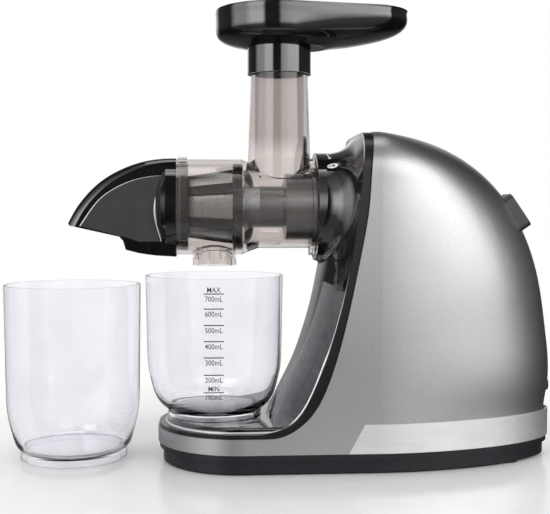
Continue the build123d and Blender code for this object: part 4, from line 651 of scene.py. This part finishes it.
def make_floor():
    """Pale floor that fades to white for the eye, and away for gloss, with distance."""
    mesh = bpy.data.meshes.new("floor")
    mesh.from_pydata([(-4, -4, 0), (4, -4, 0), (4, 6, 0), (-4, 6, 0)], [], [(0, 1, 2, 3)])
    obj = new_object("floor", mesh)
    mat, tree, bsdf = new_material("pale_floor")
    noise = noise_of(tree, 12.0, 3.0)
    ramp = ramp_of(tree, noise.outputs["Fac"], (0.86, 0.86, 0.865), (0.88, 0.88, 0.88))
    tree.links.new(ramp.outputs["Color"], bsdf.inputs["Base Color"])
    bsdf.inputs["Roughness"].default_value = 0.16
    bsdf.inputs["Specular IOR Level"].default_value = 0.2
    coords = tree.nodes.new("ShaderNodeTexCoord")
    length = tree.nodes.new("ShaderNodeVectorMath")
    length.operation = "LENGTH"
    tree.links.new(coords.outputs["Object"], length.inputs[0])
    fade = tree.nodes.new("ShaderNodeMapRange")
    fade.inputs["From Min"].default_value = 0.18
    fade.inputs["From Max"].default_value = 0.42
    tree.links.new(length.outputs["Value"], fade.inputs["Value"])
    thin = tree.nodes.new("ShaderNodeMapRange")
    thin.inputs["From Max"].default_value = 0.32
    tree.links.new(length.outputs["Value"], thin.inputs["Value"])
    path = tree.nodes.new("ShaderNodeLightPath")
    seen = maths(tree, "MAXIMUM", path.outputs["Is Camera Ray"], path.outputs["Is Transmission Ray"])
    white = maths(tree, "MULTIPLY", fade.outputs["Result"], seen)
    gone = maths(tree, "MULTIPLY", thin.outputs["Result"], path.outputs["Is Glossy Ray"])
    glow = tree.nodes.new("ShaderNodeEmission")
    glow.inputs["Strength"].default_value = 1.0
    nothing = tree.nodes.new("ShaderNodeBsdfTransparent")
    shader = mix_shaders(tree, white, bsdf.outputs["BSDF"], glow.outputs["Emission"])
    shader = mix_shaders(tree, gone, shader, nothing.outputs["BSDF"])
    tree.links.new(shader, tree.nodes["Material Output"].inputs["Surface"])
    mesh.materials.append(mat)


make_floor()


# light that gloss sees: (degrees round from the camera's side towards +x, level)
BEARINGS = [(-180, 0.2), (-156, 0.2), (-142, 0.02), (-100, 0.02), (-86, 0.5), (-64, 0.55), (-52, 1.0),
            (-30, 1.0), (-24, 0.01), (0, 0.01), (6, 0.6), (24, 0.8), (32, 1.0), (69, 1.0), (73, 0.03),
            (142, 0.01), (158, 0.2), (180, 0.2)]
# and (height, level), with 0 straight down, 0.5 level with the object and 1 straight up
HEIGHTS = [(0.0, 0.02), (0.42, 0.1), (0.5, 0.5), (0.58, 1.0), (0.66, 0.9), (0.76, 0.25), (0.95, 0.08),
           (1.0, 0.5)]
BOX_LEVEL = 4.8
EVEN_LEVEL = 0.62           # light on diffuse surfaces from the horizon
EVEN_RISE = 0.10            # how much brighter it is overhead


def levels_of(tree, source, stops):
    ramp = tree.nodes.new("ShaderNodeValToRGB")
    marks = ramp.color_ramp.elements
    while len(marks) < len(stops):
        marks.new(0.5)
    for mark, (position, level) in zip(marks, stops):
        mark.position = position
        mark.color = (level, level, level, 1)
    tree.links.new(source, ramp.inputs["Fac"])
    return ramp.outputs["Color"]


def make_world():
    """White studio for the eye, soft even light for diffuse surfaces, soft boxes for gloss."""
    world = bpy.data.worlds.new("studio")
    bpy.context.scene.world = world
    world.use_nodes = True
    tree = world.node_tree
    tree.nodes.clear()

    coords = tree.nodes.new("ShaderNodeTexCoord")
    split = tree.nodes.new("ShaderNodeSeparateXYZ")
    tree.links.new(coords.outputs["Generated"], split.inputs["Vector"])
    bearing = maths(tree, "ARCTAN2", split.outputs["X"], maths(tree, "MULTIPLY", split.outputs["Y"], -1.0))
    share = maths(tree, "ADD", maths(tree, "DIVIDE", bearing, 2 * pi), 0.5)
    height = maths(tree, "ADD", maths(tree, "MULTIPLY", split.outputs["Z"], 0.5), 0.5)
    round_about = levels_of(tree, share, [((angle + 180) / 360, level) for angle, level in BEARINGS])
    upright = levels_of(tree, height, HEIGHTS)
    boxes = maths(tree, "MULTIPLY", maths(tree, "MULTIPLY", round_about, upright), BOX_LEVEL)

    path = tree.nodes.new("ShaderNodeLightPath")
    glossy = path.outputs["Is Glossy Ray"]
    seen = maths(tree, "MAXIMUM", path.outputs["Is Camera Ray"], path.outputs["Is Transmission Ray"])
    even = maths(tree, "ADD", maths(tree, "MULTIPLY", split.outputs["Z"], EVEN_RISE), EVEN_LEVEL)
    lit = maths(tree, "MULTIPLY", maths(tree, "SUBTRACT", 1.0, glossy), even)
    soft = maths(tree, "ADD", maths(tree, "MULTIPLY", glossy, boxes), lit)
    unseen = maths(tree, "MULTIPLY", maths(tree, "SUBTRACT", 1.0, seen), soft)
    level = maths(tree, "ADD", seen, unseen)
    glow = tree.nodes.new("ShaderNodeBackground")
    glow.inputs["Color"].default_value = (1, 1, 1, 1)
    tree.links.new(level, glow.inputs["Strength"])
    out = tree.nodes.new("ShaderNodeOutputWorld")
    tree.links.new(glow.outputs["Background"], out.inputs["Surface"])


make_world()


def add_lamp(name, where, aim, size, power, in_gloss=True):
    data = bpy.data.lights.new(name, "AREA")
    data.shape = "RECTANGLE"
    data.size, data.size_y = size
    data.energy = power
    lamp = new_object(name, data)
    lamp.location = where
    lamp.rotation_euler = (Vector(aim) - Vector(where)).to_track_quat("-Z", "Y").to_euler()
    lamp.visible_glossy = in_gloss


add_lamp("key", (-0.9, -1.1, 1.25), (0.0, 0.0, 0.15), (0.8, 0.8), 9.0, False)
add_lamp("fill", (0.5, -1.4, 1.1), (0.05, 0.0, 0.15), (0.9, 0.9), 3.5, False)
add_lamp("top", (0.0, 0.1, 1.5), (0.0, 0.0, 0.1), (0.9, 0.7), 3.6)

CAMERA_PLACE = (-57.4, -799.12, 195.62)
CAMERA_DOWN = 2.54          # degrees below level
CAMERA_RIGHT = 3.87         # degrees towards +x

camera = new_object("camera", bpy.data.cameras.new("camera"))
camera.data.sensor_width = 36.0
camera.data.lens = 65.8
camera.data.clip_start = 0.01
camera.location = place(*CAMERA_PLACE)
camera.rotation_euler = (radians(90 - CAMERA_DOWN), 0, -radians(CAMERA_RIGHT))
bpy.context.scene.camera = camera
bpy.context.scene.view_settings.view_transform = "Standard"
